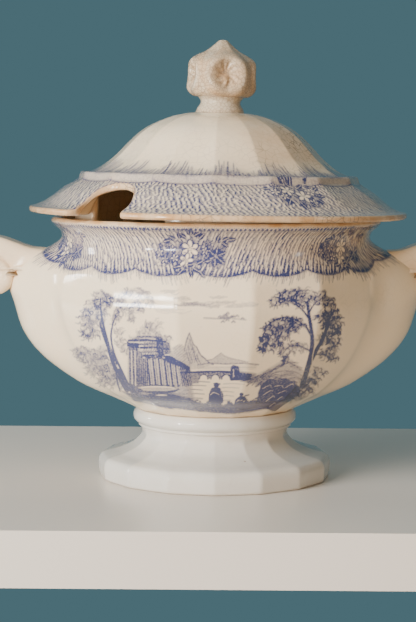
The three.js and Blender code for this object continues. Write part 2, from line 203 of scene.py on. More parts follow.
def grid_piece(name, points, material, floats, loop=False, matrix=None):
    """A closed smooth mesh over rows of points that run right round, with its end rows joined or capped."""
    rows, columns = points.shape[:2]
    flat = points.reshape(-1, 3)
    row = np.arange(rows if loop else rows - 1)[:, None]
    column = np.arange(columns)[None, :]
    a = row * columns
    b = ((row + 1) % rows) * columns
    k = (column + 1) % columns
    quads = np.stack([a + column, a + k, b + k, b + column], -1).reshape(-1, 4)
    faces = quads.tolist()
    extra = []
    for start, flip in () if loop else ((0, True), ((rows - 1) * columns, False)):
        middle = len(flat) + len(extra)
        extra.append(flat[start:start + columns].mean(0))
        for j in range(columns):
            pair = [start + j, start + (j + 1) % columns]
            faces.append([middle] + (pair[::-1] if flip else pair))
    whole = np.vstack([flat, *extra])
    if volume_of(whole, np.vstack([quads[:, :3], quads[:, [0, 2, 3]]])) < 0:
        faces = [f[::-1] for f in faces]
    mesh = bpy.data.meshes.new(name)
    mesh.from_pydata((whole * MM).tolist(), [], faces)
    mesh.shade_smooth()
    for key, values in floats.items():
        values = values.reshape(-1)
        values = np.concatenate([values, np.full(len(extra), float(values[-1]))])
        mesh.attributes.new(key, "FLOAT", "POINT").data.foreach_set("value", values.astype(np.float32))
    mesh.materials.append(material)
    mesh.update()
    piece = bpy.data.objects.new(name, mesh)
    bpy.context.scene.collection.objects.link(piece)
    if matrix is not None:
        piece.matrix_world = matrix
    return piece


def fit(piece, body, node):
    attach(piece, body)
    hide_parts(node)


# ---------------------------------------------------------------- drawing

WIPE = -1  # the tone that takes ink off
HATCH_WIDTH = 0.45


class Canvas:
    """A flat sheet, in millimetres, for strokes, leaves and shapes. 0 is bare and 1 is solid ink."""

    def __init__(self, left, right, low, high, step=0.28):
        self.left, self.low, self.step = left, low, step
        self.x = np.arange(left, right + step, step)
        self.y = np.arange(low, high + step, step)
        self.ink = np.zeros((len(self.y), len(self.x)))

    def window(self, low, high):
        """The cells between two corners, with their x as a row and their y as a column."""
        rows, columns = [
            slice(max(0, int((a - start) / self.step)), max(0, int((b - start) / self.step) + 2))
            for a, b, start in ((low[1], high[1], self.low), (low[0], high[0], self.left))
        ]
        return (rows, columns), self.x[None, columns], self.y[rows, None]

    def lay(self, where, cover, tone):
        """Draws ink of a tone where it is darker than what is there, or wipes ink off."""
        patch = self.ink[where]
        if tone >= 0:
            self.ink[where] = np.maximum(patch, patch + (tone - patch) * cover)
        else:
            self.ink[where] = patch * (1 - cover)

    def stroke(self, points, width, tone, end_width=None, soft=0.35):
        """A line through points whose width runs from width to end_width."""
        p = np.array(points, float)
        widths = np.linspace(width, width if end_width is None else end_width, len(p))
        for a, b, w0, w1 in zip(p[:-1], p[1:], widths[:-1], widths[1:]):
            reach = max(w0, w1) / 2 + soft
            where, x, y = self.window(np.minimum(a, b) - reach, np.maximum(a, b) + reach)
            t, away = to_segment(x, y, a, b)
            half = (w0 + (w1 - w0) * t) / 2
            self.lay(where, np.clip((half - away) / soft + 0.5, 0, 1), tone)

    def bend(self, points, width, tone, end_width=None, soft=0.35):
        """A stroke along the smooth curve through points."""
        t = np.linspace(0, 1, 7 * (len(points) - 1) + 1)
        self.stroke(curve(points, t), width, tone, end_width, soft)

    def oval(self, x, y, rx, ry, tone, turn=0.0, soft=0.4):
        reach = max(rx, ry) + soft
        where, across, up = self.window((x - reach, y - reach), (x + reach, y + reach))
        dx, dy = across - x, up - y
        c, s = math.cos(turn), math.sin(turn)
        away = np.hypot((dx * c + dy * s) / rx, (dy * c - dx * s) / ry)
        self.lay(where, np.clip((1 - away) * min(rx, ry) / soft + 0.5, 0, 1), tone)

    def shape(self, points, tone, soft=0.4):
        """A filled polygon."""
        p = np.array(points, float)
        where, x, y = self.window(p.min(0) - soft, p.max(0) + soft)
        inside = np.zeros((y.size, x.size), bool)
        away = np.full(inside.shape, 1e9)
        for a, b in zip(p, np.roll(p, -1, 0)):
            d = b - a
            crosses = (a[1] > y) != (b[1] > y)
            inside ^= crosses & (x < a[0] + (y - a[1]) * d[0] / (d[1] if abs(d[1]) > 1e-9 else 1e-9))
            away = np.minimum(away, to_segment(x, y, a, b)[1])
        self.lay(where, np.clip(np.where(inside, away, -away) / soft + 0.5, 0, 1), tone)

    def hatch(self, points, tone, pitch, angle):
        """Parallel lines across a polygon."""
        p = np.array(points, float)
        spare = Canvas(p[:, 0].min(), p[:, 0].max(), p[:, 1].min(), p[:, 1].max(), self.step)
        spare.shape(points, 1)
        x, y = spare.x[None, :], spare.y[:, None]
        across = x * math.sin(angle) - y * math.cos(angle)
        line = np.clip((HATCH_WIDTH / 2 - np.abs((across / pitch) % 1 - 0.5) * pitch) / 0.3 + 0.5, 0, 1)
        (up, along), *_ = self.window((spare.left, spare.low), (spare.x[-1], spare.y[-1]))
        cover = (spare.ink * line)[:len(self.y[up]), :len(self.x[along])]
        rows, columns = cover.shape
        self.lay((slice(up.start, up.start + rows), slice(along.start, along.start + columns)), cover, tone)

    def panel(self, points, tone, line_tone, pitch, angle):
        """A filled polygon with lines across it."""
        self.shape(points, tone)
        self.hatch(points, line_tone, pitch, angle)

    def leaf(self, x, y, length, width, turn, tone, vein=True):
        """A pointed leaf from its stalk end at x, y, with its vein wiped out."""
        t = np.linspace(0, 1, 9)
        along, across = t * length, np.sin(np.pi * t**0.8) * width / 2
        c, s = math.cos(turn), math.sin(turn)
        upper = np.stack([x + along * c - across * s, y + along * s + across * c], -1)
        lower = np.stack([x + along * c + across * s, y + along * s - across * c], -1)
        self.shape(np.vstack([upper, lower[-2:0:-1]]), tone)
        if vein:
            self.stroke([(x, y), (x + 0.85 * length * c, y + 0.85 * length * s)], 0.4, WIPE)

    def flower(self, x, y, size, petals, tone, turn):
        """An open flower: white petals with an outline and a dotted middle."""
        for i in range(petals):
            a = turn + i * TAU / petals
            px, py = x + 0.62 * size * math.cos(a), y + 0.62 * size * math.sin(a)
            self.oval(px, py, 0.5 * size + 0.1, 0.36 * size + 0.1, min(1, tone * 1.2), a)
            self.oval(px, py, 0.5 * size - 0.5, 0.36 * size - 0.5, WIPE, a)
        self.oval(x, y, 0.3 * size, 0.3 * size, WIPE)
        for i in range(5):
            a = turn + i * TAU / 5
            self.oval(x + 0.17 * size * math.cos(a), y + 0.17 * size * math.sin(a), 0.3, 0.3, tone)

    def foliage(self, clumps, tone, rng, dabs=26, size=1.5, droop=-0.9):
        """Small hooked dabs gathered in clumps of (x, y, reach across, reach up), over a soft wash."""
        for x, y, rx, ry in clumps:
            self.oval(x, y, rx * 0.8, ry * 0.8, 0.26 * tone, soft=3.0)
        for x, y, rx, ry in clumps:
            for _ in range(int(1.25 * dabs * rx * ry / 16) + 6):
                r, a = 1.34 * math.sqrt(rng.random()), rng.random() * TAU
                px, py = x + rx * r * math.cos(a), y + ry * r * math.sin(a)
                turn = droop + rng.normal(0, 0.7)
                if px < x:
                    turn = math.pi - turn
                length = 1.5 * size * (0.7 + 0.6 * rng.random())
                mid = (px + length * 0.5 * math.cos(turn + 0.6), py + length * 0.5 * math.sin(turn + 0.6))
                end = (px + length * math.cos(turn), py + length * math.sin(turn))
                shade = tone * (0.3 + 0.85 * rng.random()) * (0.85 + 0.3 * (1 - r))
                self.stroke([(px, py), mid, end], 0.85, min(1, shade), 0.4)

    def at(self, x, y):
        """The ink at points, read between the sheet's cells; nothing outside it."""
        fx, fy = (x - self.left) / self.step, (y - self.low) / self.step
        rows, columns = self.ink.shape
        inside = (fx >= 0) & (fy >= 0) & (fx < columns - 1) & (fy < rows - 1)
        j, i = np.clip(fx.astype(int), 0, columns - 2), np.clip(fy.astype(int), 0, rows - 2)
        u, v = np.clip(fx - j, 0, 1), np.clip(fy - i, 0, 1)
        k = self.ink
        below = k[i, j] * (1 - u) + k[i, j + 1] * u
        above = k[i + 1, j] * (1 - u) + k[i + 1, j + 1] * u
        value = below * (1 - v) + above * v
        return np.where(inside, value, 0)


# ---------------------------------------------------------------- the printed landscape

def draw_right_tree(c, rng):
    c.bend([(50.5, 72), (53.4, 82), (55.6, 92), (55.8, 102), (54.2, 111), (53, 119.5)], 3.0, 1.0, 1.4)
    c.bend([(54.6, 85), (58.6, 93), (62.8, 101), (65.2, 110), (68.6, 116)], 2.3, 0.95, 0.9)
    c.bend([(49.5, 70.5), (52.2, 77), (55, 84)], 1.1, 0.55)
    c.bend([(56.2, 79), (56.2, 88), (57.6, 97), (56.4, 106)], 0.6, WIPE)
    c.bend([(55.9, 100), (52, 106.4), (45, 110.8), (37.5, 111.2), (30.6, 107.2), (26.4, 98)], 1.2, 0.85, 0.5)
    c.bend([(54.6, 110), (49, 117), (41, 121.4), (36, 122)], 1.0, 0.75, 0.4)
    c.bend([(53.6, 114), (57.4, 120), (63, 123.6)], 0.9, 0.75, 0.4)
    c.bend([(55, 92), (49.6, 94.8), (43, 94.8), (38.8, 90.2)], 0.9, 0.75, 0.4)
    c.bend([(57, 90), (62, 90.4), (66.6, 88.6)], 0.8, 0.7, 0.4)
    crown = [(35.4, 121.6, 3.4, 2.4), (40.4, 124.8, 4, 2.6), (47.4, 126.2, 4.4, 2.5), (53.6, 123.6, 4, 2.6),
             (60.6, 123.2, 3.4, 3.2), (65, 120.2, 2.6, 3), (44, 121.6, 4, 2), (50, 119.8, 3.4, 1.8)]
    c.foliage(crown, 0.82, rng, dabs=32)
    fronds = [(46.4, 108.4, 4, 3), (41, 109.4, 4.4, 3.2), (35.4, 107.4, 4, 3.6), (31.2, 103.6, 3, 4.2),
              (28, 97.6, 2.4, 4), (26.4, 94, 1.6, 2.6), (39, 103.2, 3, 3), (36, 98.6, 1.8, 3.2),
              (33, 95.6, 1.4, 2.6), (43.4, 104.6, 2.4, 2.6)]
    c.foliage(fronds, 0.95, rng, dabs=36, droop=-1.25)
    right = [(61.4, 112.4, 3, 3), (66.6, 114, 3.6, 3.2), (69.4, 109, 2.6, 3.4), (63.8, 106.4, 3, 3),
             (68.6, 103, 2.8, 3.6), (63, 99.6, 2.8, 2.8), (67.2, 96, 2.8, 3.2), (64.4, 91, 3, 2.6),
             (68.4, 89.2, 2, 2)]
    c.foliage(right, 0.92, rng, dabs=34)
    lower = [(48.8, 95, 3.4, 2), (43.2, 94.6, 3.4, 2.4), (39.4, 91.2, 2, 2.8), (40.6, 87.4, 1.4, 2),
             (59.6, 80.4, 3.4, 2), (56.2, 75.4, 3.2, 2.2)]
    c.foliage(lower, 0.78, rng)


def draw_left_tree(c, rng):
    c.bend([(-51, 69), (-55.4, 77), (-59.4, 86), (-62, 95), (-64.2, 104), (-66, 114), (-66.4, 122)], 3.0,
           0.85, 0.7)
    c.bend([(-58, 84), (-61, 92), (-64.6, 101), (-66.6, 107)], 3.0, 0.86, 0.9)
    c.bend([(-50.4, 72), (-54.6, 81), (-58.4, 90), (-60.2, 99), (-59.4, 106), (-57.4, 112)], 1.4, 0.8, 0.6)
    c.bend([(-55.6, 79.6), (-59, 87), (-61.4, 95)], 0.5, WIPE)
    c.bend([(-52.6, 71.6), (-56.4, 78.6)], 0.5, WIPE)
    for x, y, x1, y1, width in ((-55.6, 80, -50.4, 68, 2.4), (-54, 76, -47.6, 66.6, 1.8),
                                (-57, 80, -55, 68, 1.2), (-60, 88, -53.6, 76, 1.4),
                                (-62.4, 98, -58.4, 86, 1.2), (-50, 70, -43, 65.4, 1.6)):
        c.bend([(x, y), (0.5 * (x + x1) - 0.6, 0.5 * (y + y1)), (x1, y1)], width, 0.8, 0.5 * width)
    c.bend([(-63.4, 101), (-68.6, 107), (-73.6, 110)], 0.8, 0.55, 0.4)
    c.bend([(-59.6, 105), (-58.6, 113), (-55, 120.4), (-50.4, 126), (-43.4, 125.4), (-38.6, 120.6)], 0.7,
           0.42, 0.4)
    c.bend([(-56.4, 118), (-52.4, 118.6), (-48.8, 114.2), (-48.6, 110.8)], 0.6, 0.4, 0.4)
    crown = [(-66.4, 124, 3.4, 2.4), (-62.6, 120.4, 3, 2.8), (-70.6, 118.4, 3.4, 2.8),
             (-65.4, 115.4, 3.4, 2.6), (-73, 114.6, 2.8, 2.4), (-75.6, 110.2, 2.6, 2.6),
             (-70.4, 110, 2.8, 2.4), (-74, 105.6, 2.6, 3), (-70.2, 102.4, 2.4, 3), (-75, 101.2, 1.8, 2.6),
             (-66.8, 109.4, 2, 2.4)]
    c.foliage(crown, 0.74, rng, dabs=32)
    spray = [(-55.6, 121.4, 2.8, 2.4), (-51, 125.4, 3, 2), (-46, 126, 3, 1.8), (-41.4, 124, 2.4, 2.2),
             (-38.4, 120.6, 1.6, 2.6), (-54.4, 115.8, 2.6, 2.2), (-49.6, 117, 2.6, 2), (-46.4, 119.4, 2, 2),
             (-48.6, 112, 1.6, 2.6), (-43.6, 116.6, 1.6, 2.6), (-57.6, 110.6, 2, 2.4)]
    c.foliage(spray, 0.62, rng, dabs=30, droop=-1.2)
    bush = [(-77.6, 90.4, 3.6, 2.8), (-71.6, 88, 4.4, 4), (-66.4, 84, 4.6, 4.6), (-61.6, 79, 4.4, 4.6),
            (-70.4, 81, 3.6, 3), (-57.2, 74, 4, 3.4), (-65.6, 90.6, 3, 3.4), (-64, 74.6, 3, 2.6)]
    for x, y, rx, ry in bush:
        c.oval(x, y, rx, ry, 0.26, soft=2.2)
    c.foliage(bush, 0.62, rng, dabs=32)


COLUMN_LEAN = 1.7


def draw_column(c, x, low, high, width, tone):
    """A fluted column with a bright side and a cap."""
    lean = COLUMN_LEAN
    c.stroke([(x, high), (x + lean, low)], width, tone)
    c.stroke([(x + 0.3 * width, high - 1), (x + lean + 0.3 * width, low + 1)], 0.4, WIPE)
    c.stroke([(x + 0.75 * width, high), (x + lean + 0.75 * width, low)], 0.5, 0.6 * tone)
    c.stroke([(x - 0.9 * width, high + 0.3), (x + 1.1 * width, high - 0.1)], 0.8, tone)


def draw_ruins(c, rng):
    wall = [(-50.4, 69), (-50.4, 97.6), (-44, 100.6), (-33, 101.4), (-27, 98), (-25.4, 92), (-14.4, 84.6),
            (-13, 72), (-24, 69)]
    c.shape(wall, 0.28, soft=1.5)
    c.shape([(-49.6, 69.4), (-44.2, 68.4), (-44.6, 93.6), (-50, 94.6)], 0.62)
    for x in (-48.4, -46.4):
        c.stroke([(x, 91.6), (x + 0.5, 71)], 0.5, WIPE)
        c.stroke([(x + 0.6, 91.6), (x + 1.1, 71)], 0.5, 0.6)
    c.panel([(-44.2, 69.4), (-38.6, 69.8), (-38.8, 90), (-44.4, 91.4)], 0.5, 0.78, 1.2, math.pi / 2)
    c.shape([(-51, 94), (-44, 93.2), (-44, 96), (-51, 97)], 0.8)
    bands = ((99.6, -45, -32, 0.6), (97.6, -50, -29, 0.85), (95.4, -44, -28.4, 0.6), (93.4, -43, -27.6, 0.82),
             (91, -41.8, -27, 0.55), (88.8, -41.6, -26, 0.88))
    for y, left, right, tone in bands:
        c.stroke([(left, y), (0.5 * (left + right), y + 0.3), (right, y - 0.6)], 1.15, tone)
        c.stroke([(left, y - 1.1), (right, y - 1.7)], 0.45, WIPE)
    c.hatch([(-41.4, 98.4), (-30, 97.6), (-28.6, 88.4), (-41.4, 89)], 0.62, 1.1, 0.9)
    c.shape([(-34.4, 100.4), (-30.4, 99.6), (-29.4, 88), (-33.4, 88)], 0.74)
    c.shape([(-30.2, 98.4), (-26.4, 96), (-25.4, 91), (-29, 89.4)], 0.6)
    for x, tone in ((-38.9, 0.85), (-35.7, 0.95), (-32.4, 0.8), (-29.0, 0.92), (-25.8, 0.8), (-22.8, 0.7)):
        draw_column(c, x, 71.2, 87.6 - 0.28 * max(0, x + 32.4), 1.5, tone)
    c.shape([(-29.4, 89.2), (-25, 88.4), (-14.6, 82.4), (-14.4, 80), (-22, 83), (-28, 85)], 0.78)
    c.panel([(-20.6, 82.4), (-14.6, 80.2), (-13, 72), (-18.6, 71)], 0.5, 0.75, 1.15, 1.35)
    c.foliage([(-36, 102.6, 4.6, 1.6), (-46, 98.8, 2.4, 1.2), (-28, 99, 2, 1.4)], 0.6, rng, size=1.1)
    c.oval(-33.6, 69.2, 12.6, 2.5, 0.8)
    c.oval(-33.6, 69.7, 11.4, 1.5, WIPE)
    c.oval(-33.4, 69.5, 10.4, 0.9, 0.35)
    c.oval(-33.2, 66.4, 13.4, 2.0, 0.5, soft=1)
    c.oval(-32.4, 65.0, 7.8, 1.9, 0.95)
    c.oval(-30.6, 65.8, 3.8, 0.5, WIPE)
    c.shape([(-43.4, 65.4), (-47.6, 68.4), (-50.6, 73), (-47.6, 72), (-42, 68.4)], 0.75)


def draw_arches(c, centres, y, half, rise):
    for x in centres:
        a = np.linspace(0, np.pi, 9)
        arch = np.stack([x + half * np.cos(a), y + rise * np.sin(a)], -1)
        c.shape(np.vstack([arch, [(x - half, y - 1.2), (x + half, y - 1.2)]]), WIPE, soft=0.3)
        c.stroke(arch, 0.5, 0.72)


def draw_distance(c):
    peak = [(-17.8, 92), (-16.6, 98), (-15, 102), (-13.8, 99), (-12.6, 95.4), (-10.8, 94), (-8.6, 89.6),
            (-5.6, 87), (-3, 84.6), (-1, 84)]
    c.shape(peak + [(-6, 82), (-15, 80.6), (-19, 84)], 0.2, soft=1.2)
    c.stroke(peak, 0.6, 0.62)
    for x, y, reach in ((-14.6, 98.6, 7), (-13.4, 95, 8), (-12.4, 92, 8), (-15.6, 95, 10), (-10.4, 89.6, 6),
                        (-16.4, 91, 7)):
        c.bend([(x, y), (x + 0.8, y - 0.5 * reach), (x + 2.6, y - reach)], 0.55, 0.55, 0.3)
    c.hatch([(-15.4, 99.6), (-12, 94), (-9, 87), (-14.6, 83), (-17.4, 90)], 0.45, 1.2, 1.3)
    c.shape([(-25, 93.4), (-20.4, 95.6), (-17, 93), (-16.8, 84), (-21.6, 84.6)], 0.26, soft=1.4)
    c.hatch([(-24.4, 93.6), (-19.4, 96), (-16.6, 93), (-16.8, 84), (-21.6, 84.6)], 0.42, 1.3, 0.7)
    far = [(-5.4, 86.2), (-1.4, 87), (1.2, 89), (3.4, 90.6), (5.2, 89), (9.4, 87.4), (13.6, 86.6), (19, 85.4)]
    c.shape(far + [(14, 84.4), (0, 84.2)], 0.24, soft=0.9)
    c.stroke(far, 0.5, 0.42)
    c.stroke([(-10, 83.6), (-3, 84.8), (6, 84.2), (16, 84.8), (25, 84)], 0.7, 0.5)
    c.hatch([(-10, 83), (24, 83.6), (24, 81.6), (-10, 81)], 0.32, 1.0, 0)
    c.shape([(-20, 78.6), (-9.4, 79.2), (-9.4, 73), (-20, 72)], 0.5, soft=0.8)
    c.shape([(-10, 79.4), (10, 79.4), (10, 75.8), (-10, 75.4)], 0.5)
    draw_arches(c, (-6.6, 0.2, 6.4), 75.4, 2.5, 2.7)
    c.stroke([(-20, 79), (-8, 79.6), (2, 79.9), (10, 79.6), (21, 78)], 1.0, 0.85)
    c.shape([(8.8, 75.6), (9, 82.6), (10.4, 83.8), (13.6, 83), (14.6, 78.6), (20.6, 77.6), (21, 75),
             (9, 74.6)], 0.78)
    c.stroke([(10.6, 81), (10.8, 77)], 0.5, WIPE)
    c.shape([(14.6, 80.4), (24, 78.8), (23, 73), (14.6, 74.2)], 0.4, soft=1)
    c.hatch([(14.6, 80.4), (22.6, 78.6), (22, 73.6), (14.6, 74.6)], 0.6, 1.2, 0.3)
    for k, (y, left, right) in enumerate(((73.4, -16, -3), (71.2, -17, -5), (68.8, -18, -7), (66.4, -19, -6),
                                          (63.8, -18, -7))):
        c.bend([(left, y), (0.5 * (left + right), y + 0.5), (right, y + 0.2)], 0.8, 0.5, 0.3)
        c.bend([(right + 8 + k, y - 0.8), (right + 13, y - 0.5), (right + 20 - k, y - 0.9)], 0.5, 0.26, 0.3)
    c.shape([(-21, 74.8), (-14, 74.4), (-11.6, 62), (-22, 61.4)], 0.34, soft=1.6)


def draw_figures(c):
    """Two tiny people by the water: one stands in a cloak, one sits beside a dog."""
    c.shape([(-3.6, 62), (-3.4, 66.6), (-2, 70), (0.4, 71), (3, 70.2), (4.8, 66.4), (4.8, 61.8), (2.4, 60.2),
             (-1.6, 60.2)], 1.0)
    c.oval(0.9, 72, 1.5, 1.4, 1.0)
    c.stroke([(-0.6, 72.8), (2.8, 72.5)], 0.7, 0.85)
    c.bend([(-2.6, 66.2), (-0.6, 67.6), (2.4, 66.4)], 0.35, WIPE)
    c.stroke([(3.4, 69), (4.4, 64.4)], 0.3, WIPE)
    c.stroke([(-0.8, 61), (-1, 58.4)], 1.2, 1.0)
    c.stroke([(2.4, 61), (2.6, 58.4)], 1.2, 1.0)
    c.shape([(11, 60), (12, 63.6), (14.4, 65.6), (17.4, 65.4), (19.6, 62), (18.8, 59), (14, 58.4)], 0.95)
    c.oval(15.4, 66.6, 1.1, 1.05, 0.85)
    c.stroke([(17.4, 65.8), (19.6, 66.4)], 0.7, 0.6)
    c.bend([(12.6, 62.4), (14.6, 63.4), (17.4, 62.2)], 0.35, WIPE)
    c.shape([(6.6, 59), (7.4, 61.6), (9.4, 62), (11, 60.6), (12.6, 59.2), (9, 58)], 0.95)
    c.oval(8, 62, 0.9, 0.8, 0.7)


def draw_ground(c, rng):
    land = [(-54, 68), (-46, 66), (-36, 64.6), (-24, 66), (-15, 64.4), (-8, 60.8), (-2, 59.4), (6, 59.6),
            (14, 60.8), (22, 63), (27, 64), (30, 58.6), (20, 56.4), (6, 55.6), (-8, 56.6), (-20, 58.4),
            (-34, 60.2), (-46, 63)]
    c.shape(land, 0.84, soft=1.3)
    line = [(-46, 64.4), (-37, 62.6), (-33, 61.4), (-27, 60.2), (-20, 59.8), (-13, 58.8), (-6, 58), (0, 57.6),
            (8, 57), (15, 57.4), (22, 59.6), (26, 61)]
    c.bend(line, 4.2, 1.0, 2.8)
    across, up = zip(*line)
    for _ in range(90):
        x = np.interp(rng.random(), np.linspace(0, 1, len(line)), across)
        y = np.interp(x, across, up) + rng.normal(1.8, 1.2)
        c.bend([(x, y), (x + 1.6, y + 0.5), (x + 3.4, y - 0.2)], 0.65, 0.55 + 0.4 * rng.random(), 0.3)
    c.shape([(-34.6, 62.4), (-30, 63.6), (-23, 62.2), (-19.6, 60.4), (-26, 59.6)], 0.8)
    c.shape([(-13.6, 60.6), (-9, 61.4), (-4, 60), (-3, 57.8), (-9, 58.2)], 0.8)
    c.shape([(6, 58.8), (12, 59.6), (20, 60.6), (24.6, 63), (25.4, 60), (18, 57), (9, 56.4)], 0.85)


def draw_rock(c, rng):
    rock = [(24.4, 60), (25.2, 68), (27.4, 73), (31, 76), (36, 75.4), (41, 76.6), (47, 73.4), (50, 69),
            (44.6, 65.4), (39, 61.6), (34, 57.6), (30, 58.4)]
    c.shape(rock, 0.86, soft=1.0)
    for x, y, reach, turn in ((27, 71, 8, 0.25), (34, 72.6, 8, -0.2), (40, 71.6, 8, 0.3),
                              (27.4, 67.4, 9, 0.35), (36, 68.4, 8, 0.1), (29, 63.6, 8, 0.5),
                              (35.4, 64.4, 6, 0.3), (31, 60.4, 6, 0.4), (43, 68, 5, -0.3)):
        c.bend([(x, y), (x + 0.5 * reach * math.cos(turn), y + 1.3 + 0.5 * reach * math.sin(turn)),
                (x + reach * math.cos(turn), y + reach * math.sin(turn))], 1.3, 0.97, 0.4)
        c.bend([(x + 0.5, y - 1.1), (x + 0.55 * reach, y + 0.1 + 0.5 * reach * math.sin(turn)),
                (x + 0.7 * reach, y - 1.0 + 0.7 * reach * math.sin(turn))], 0.3, WIPE, 0.15)
    c.bend([(25.4, 61), (31, 59), (34.4, 57.6), (37.6, 59.6), (43.4, 63.8), (49, 68)], 1.4, 0.9, 0.7)
    c.foliage([(46.4, 69, 3.4, 2.6), (50.6, 72, 3, 2.2), (43.6, 65.6, 3.2, 2), (53.6, 70, 2.6, 2),
               (49, 66.6, 2.6, 1.8), (55, 74.4, 3, 2.4), (28, 73.6, 3, 1.8), (35, 75.6, 3.4, 1.6)], 0.72, rng)


def draw_bank(c, rng):
    crest = [(19.4, 74), (24, 78), (30, 81), (35, 84), (39.4, 86.6), (44, 87), (48.4, 83), (52.4, 74.4)]
    c.shape([*crest, (40, 73), (26, 72.6)], 0.28, soft=1.8)
    for _ in range(75):
        t, u = rng.random(), rng.random()
        x = 22 + 28 * t
        y = 73.6 + u * (np.interp(x, *zip(*crest)) - 74.6)
        reach = 2.2 + 2.6 * rng.random()
        slope = 0.5 * (1 - 2 * smoothstep(x, 36, 50)) + rng.normal(0, 0.22)
        c.bend([(x - reach, y - reach * slope), (x, y + 0.5), (x + reach, y + reach * slope)],
               0.7, 0.25 + 0.4 * rng.random(), 0.35)


def draw_clouds(c, rng):
    for x, y, reach, tone in ((-15, 119.2, 8, 0.4), (-8, 118.6, 7, 0.36), (-18.4, 121.6, 6, 0.2),
                              (-26, 126, 6, 0.2), (-31, 116, 8, 0.12), (4, 119.6, 9, 0.24), (12, 118, 8, 0.2),
                              (-2, 117.4, 6, 0.26), (2, 123, 4, 0.22), (-25, 114.4, 8, 0.12),
                              (20, 119, 6, 0.16)):
        for _ in range(7):
            x0, y0 = (x, y) + rng.normal(0, 0.35, 2) * (reach, 1.6)
            half = reach * (0.35 + 0.4 * rng.random())
            c.bend([(x0 - half, y0), (x0, y0 + 0.7 * rng.normal()), (x0 + half, y0 + 0.3)], 0.5, tone, 0.3)
    c.stroke([(-20, 118.8), (-5.6, 118.2)], 0.6, 0.42)
    c.stroke([(-6.6, 110.9), (4.4, 110.5)], 0.6, 0.5)
    c.stroke([(10, 110.6), (17.6, 110)], 0.5, 0.4)
    for _ in range(22):
        x, y = 5.4 + rng.normal(0, 3.2), 111 + rng.normal(0, 0.9)
        c.bend([(x, y), (x + 0.9, y + 0.8), (x + 1.8, y)], 0.55, 0.5)


def landscape():
    rng = np.random.default_rng(11)
    c = Canvas(-86, 80, 54, 132)
    draw_clouds(c, rng)
    draw_distance(c)
    draw_ruins(c, rng)
    c.foliage([(-39, 104.4, 3.6, 2.4), (-35.4, 106.4, 3.4, 2.2), (-43, 101.6, 2, 1.4), (-54.4, 96, 2, 2.4),
               (-52, 92, 1.6, 2.4), (-55.6, 101.4, 1.6, 2)], 0.5, rng, droop=0.9)
    draw_left_tree(c, rng)
    draw_ground(c, rng)
    draw_rock(c, rng)
    draw_bank(c, rng)
    draw_right_tree(c, rng)
    draw_figures(c)
    c.ink = np.clip(1.3 * c.ink, 0, 1)
    return c


# ---------------------------------------------------------------- the printed borders

BORDER_R = 100  # arcs along the borders are measured at this radius
BORDER_END = 314.2  # just past half a turn, where the sheet ends
BOUQUET_START = -8
BOUQUET_STEP = 60
SCALLOP_STEP = 20
SCALLOP_LOW = 134.4
SCALLOP_CUSP = 138.4
FEATHERS = 250  # in a row, and links in a row of the rim's chain
FRINGES = 460


def arc(degrees):
    return math.radians(degrees) * BORDER_R


def draw_ring(c, level, width, tone):
    """A line right round the border."""
    c.stroke([(-BORDER_END, level), (BORDER_END, level)], width, tone)


def scallop_edge(degrees):
    """Height of the border's scalloped lower edge at a plan angle."""
    share = np.abs(np.sin(np.radians((np.asarray(degrees, float) - BOUQUET_START) * 180 / SCALLOP_STEP)))
    return SCALLOP_CUSP + (SCALLOP_LOW - SCALLOP_CUSP) * share**0.7


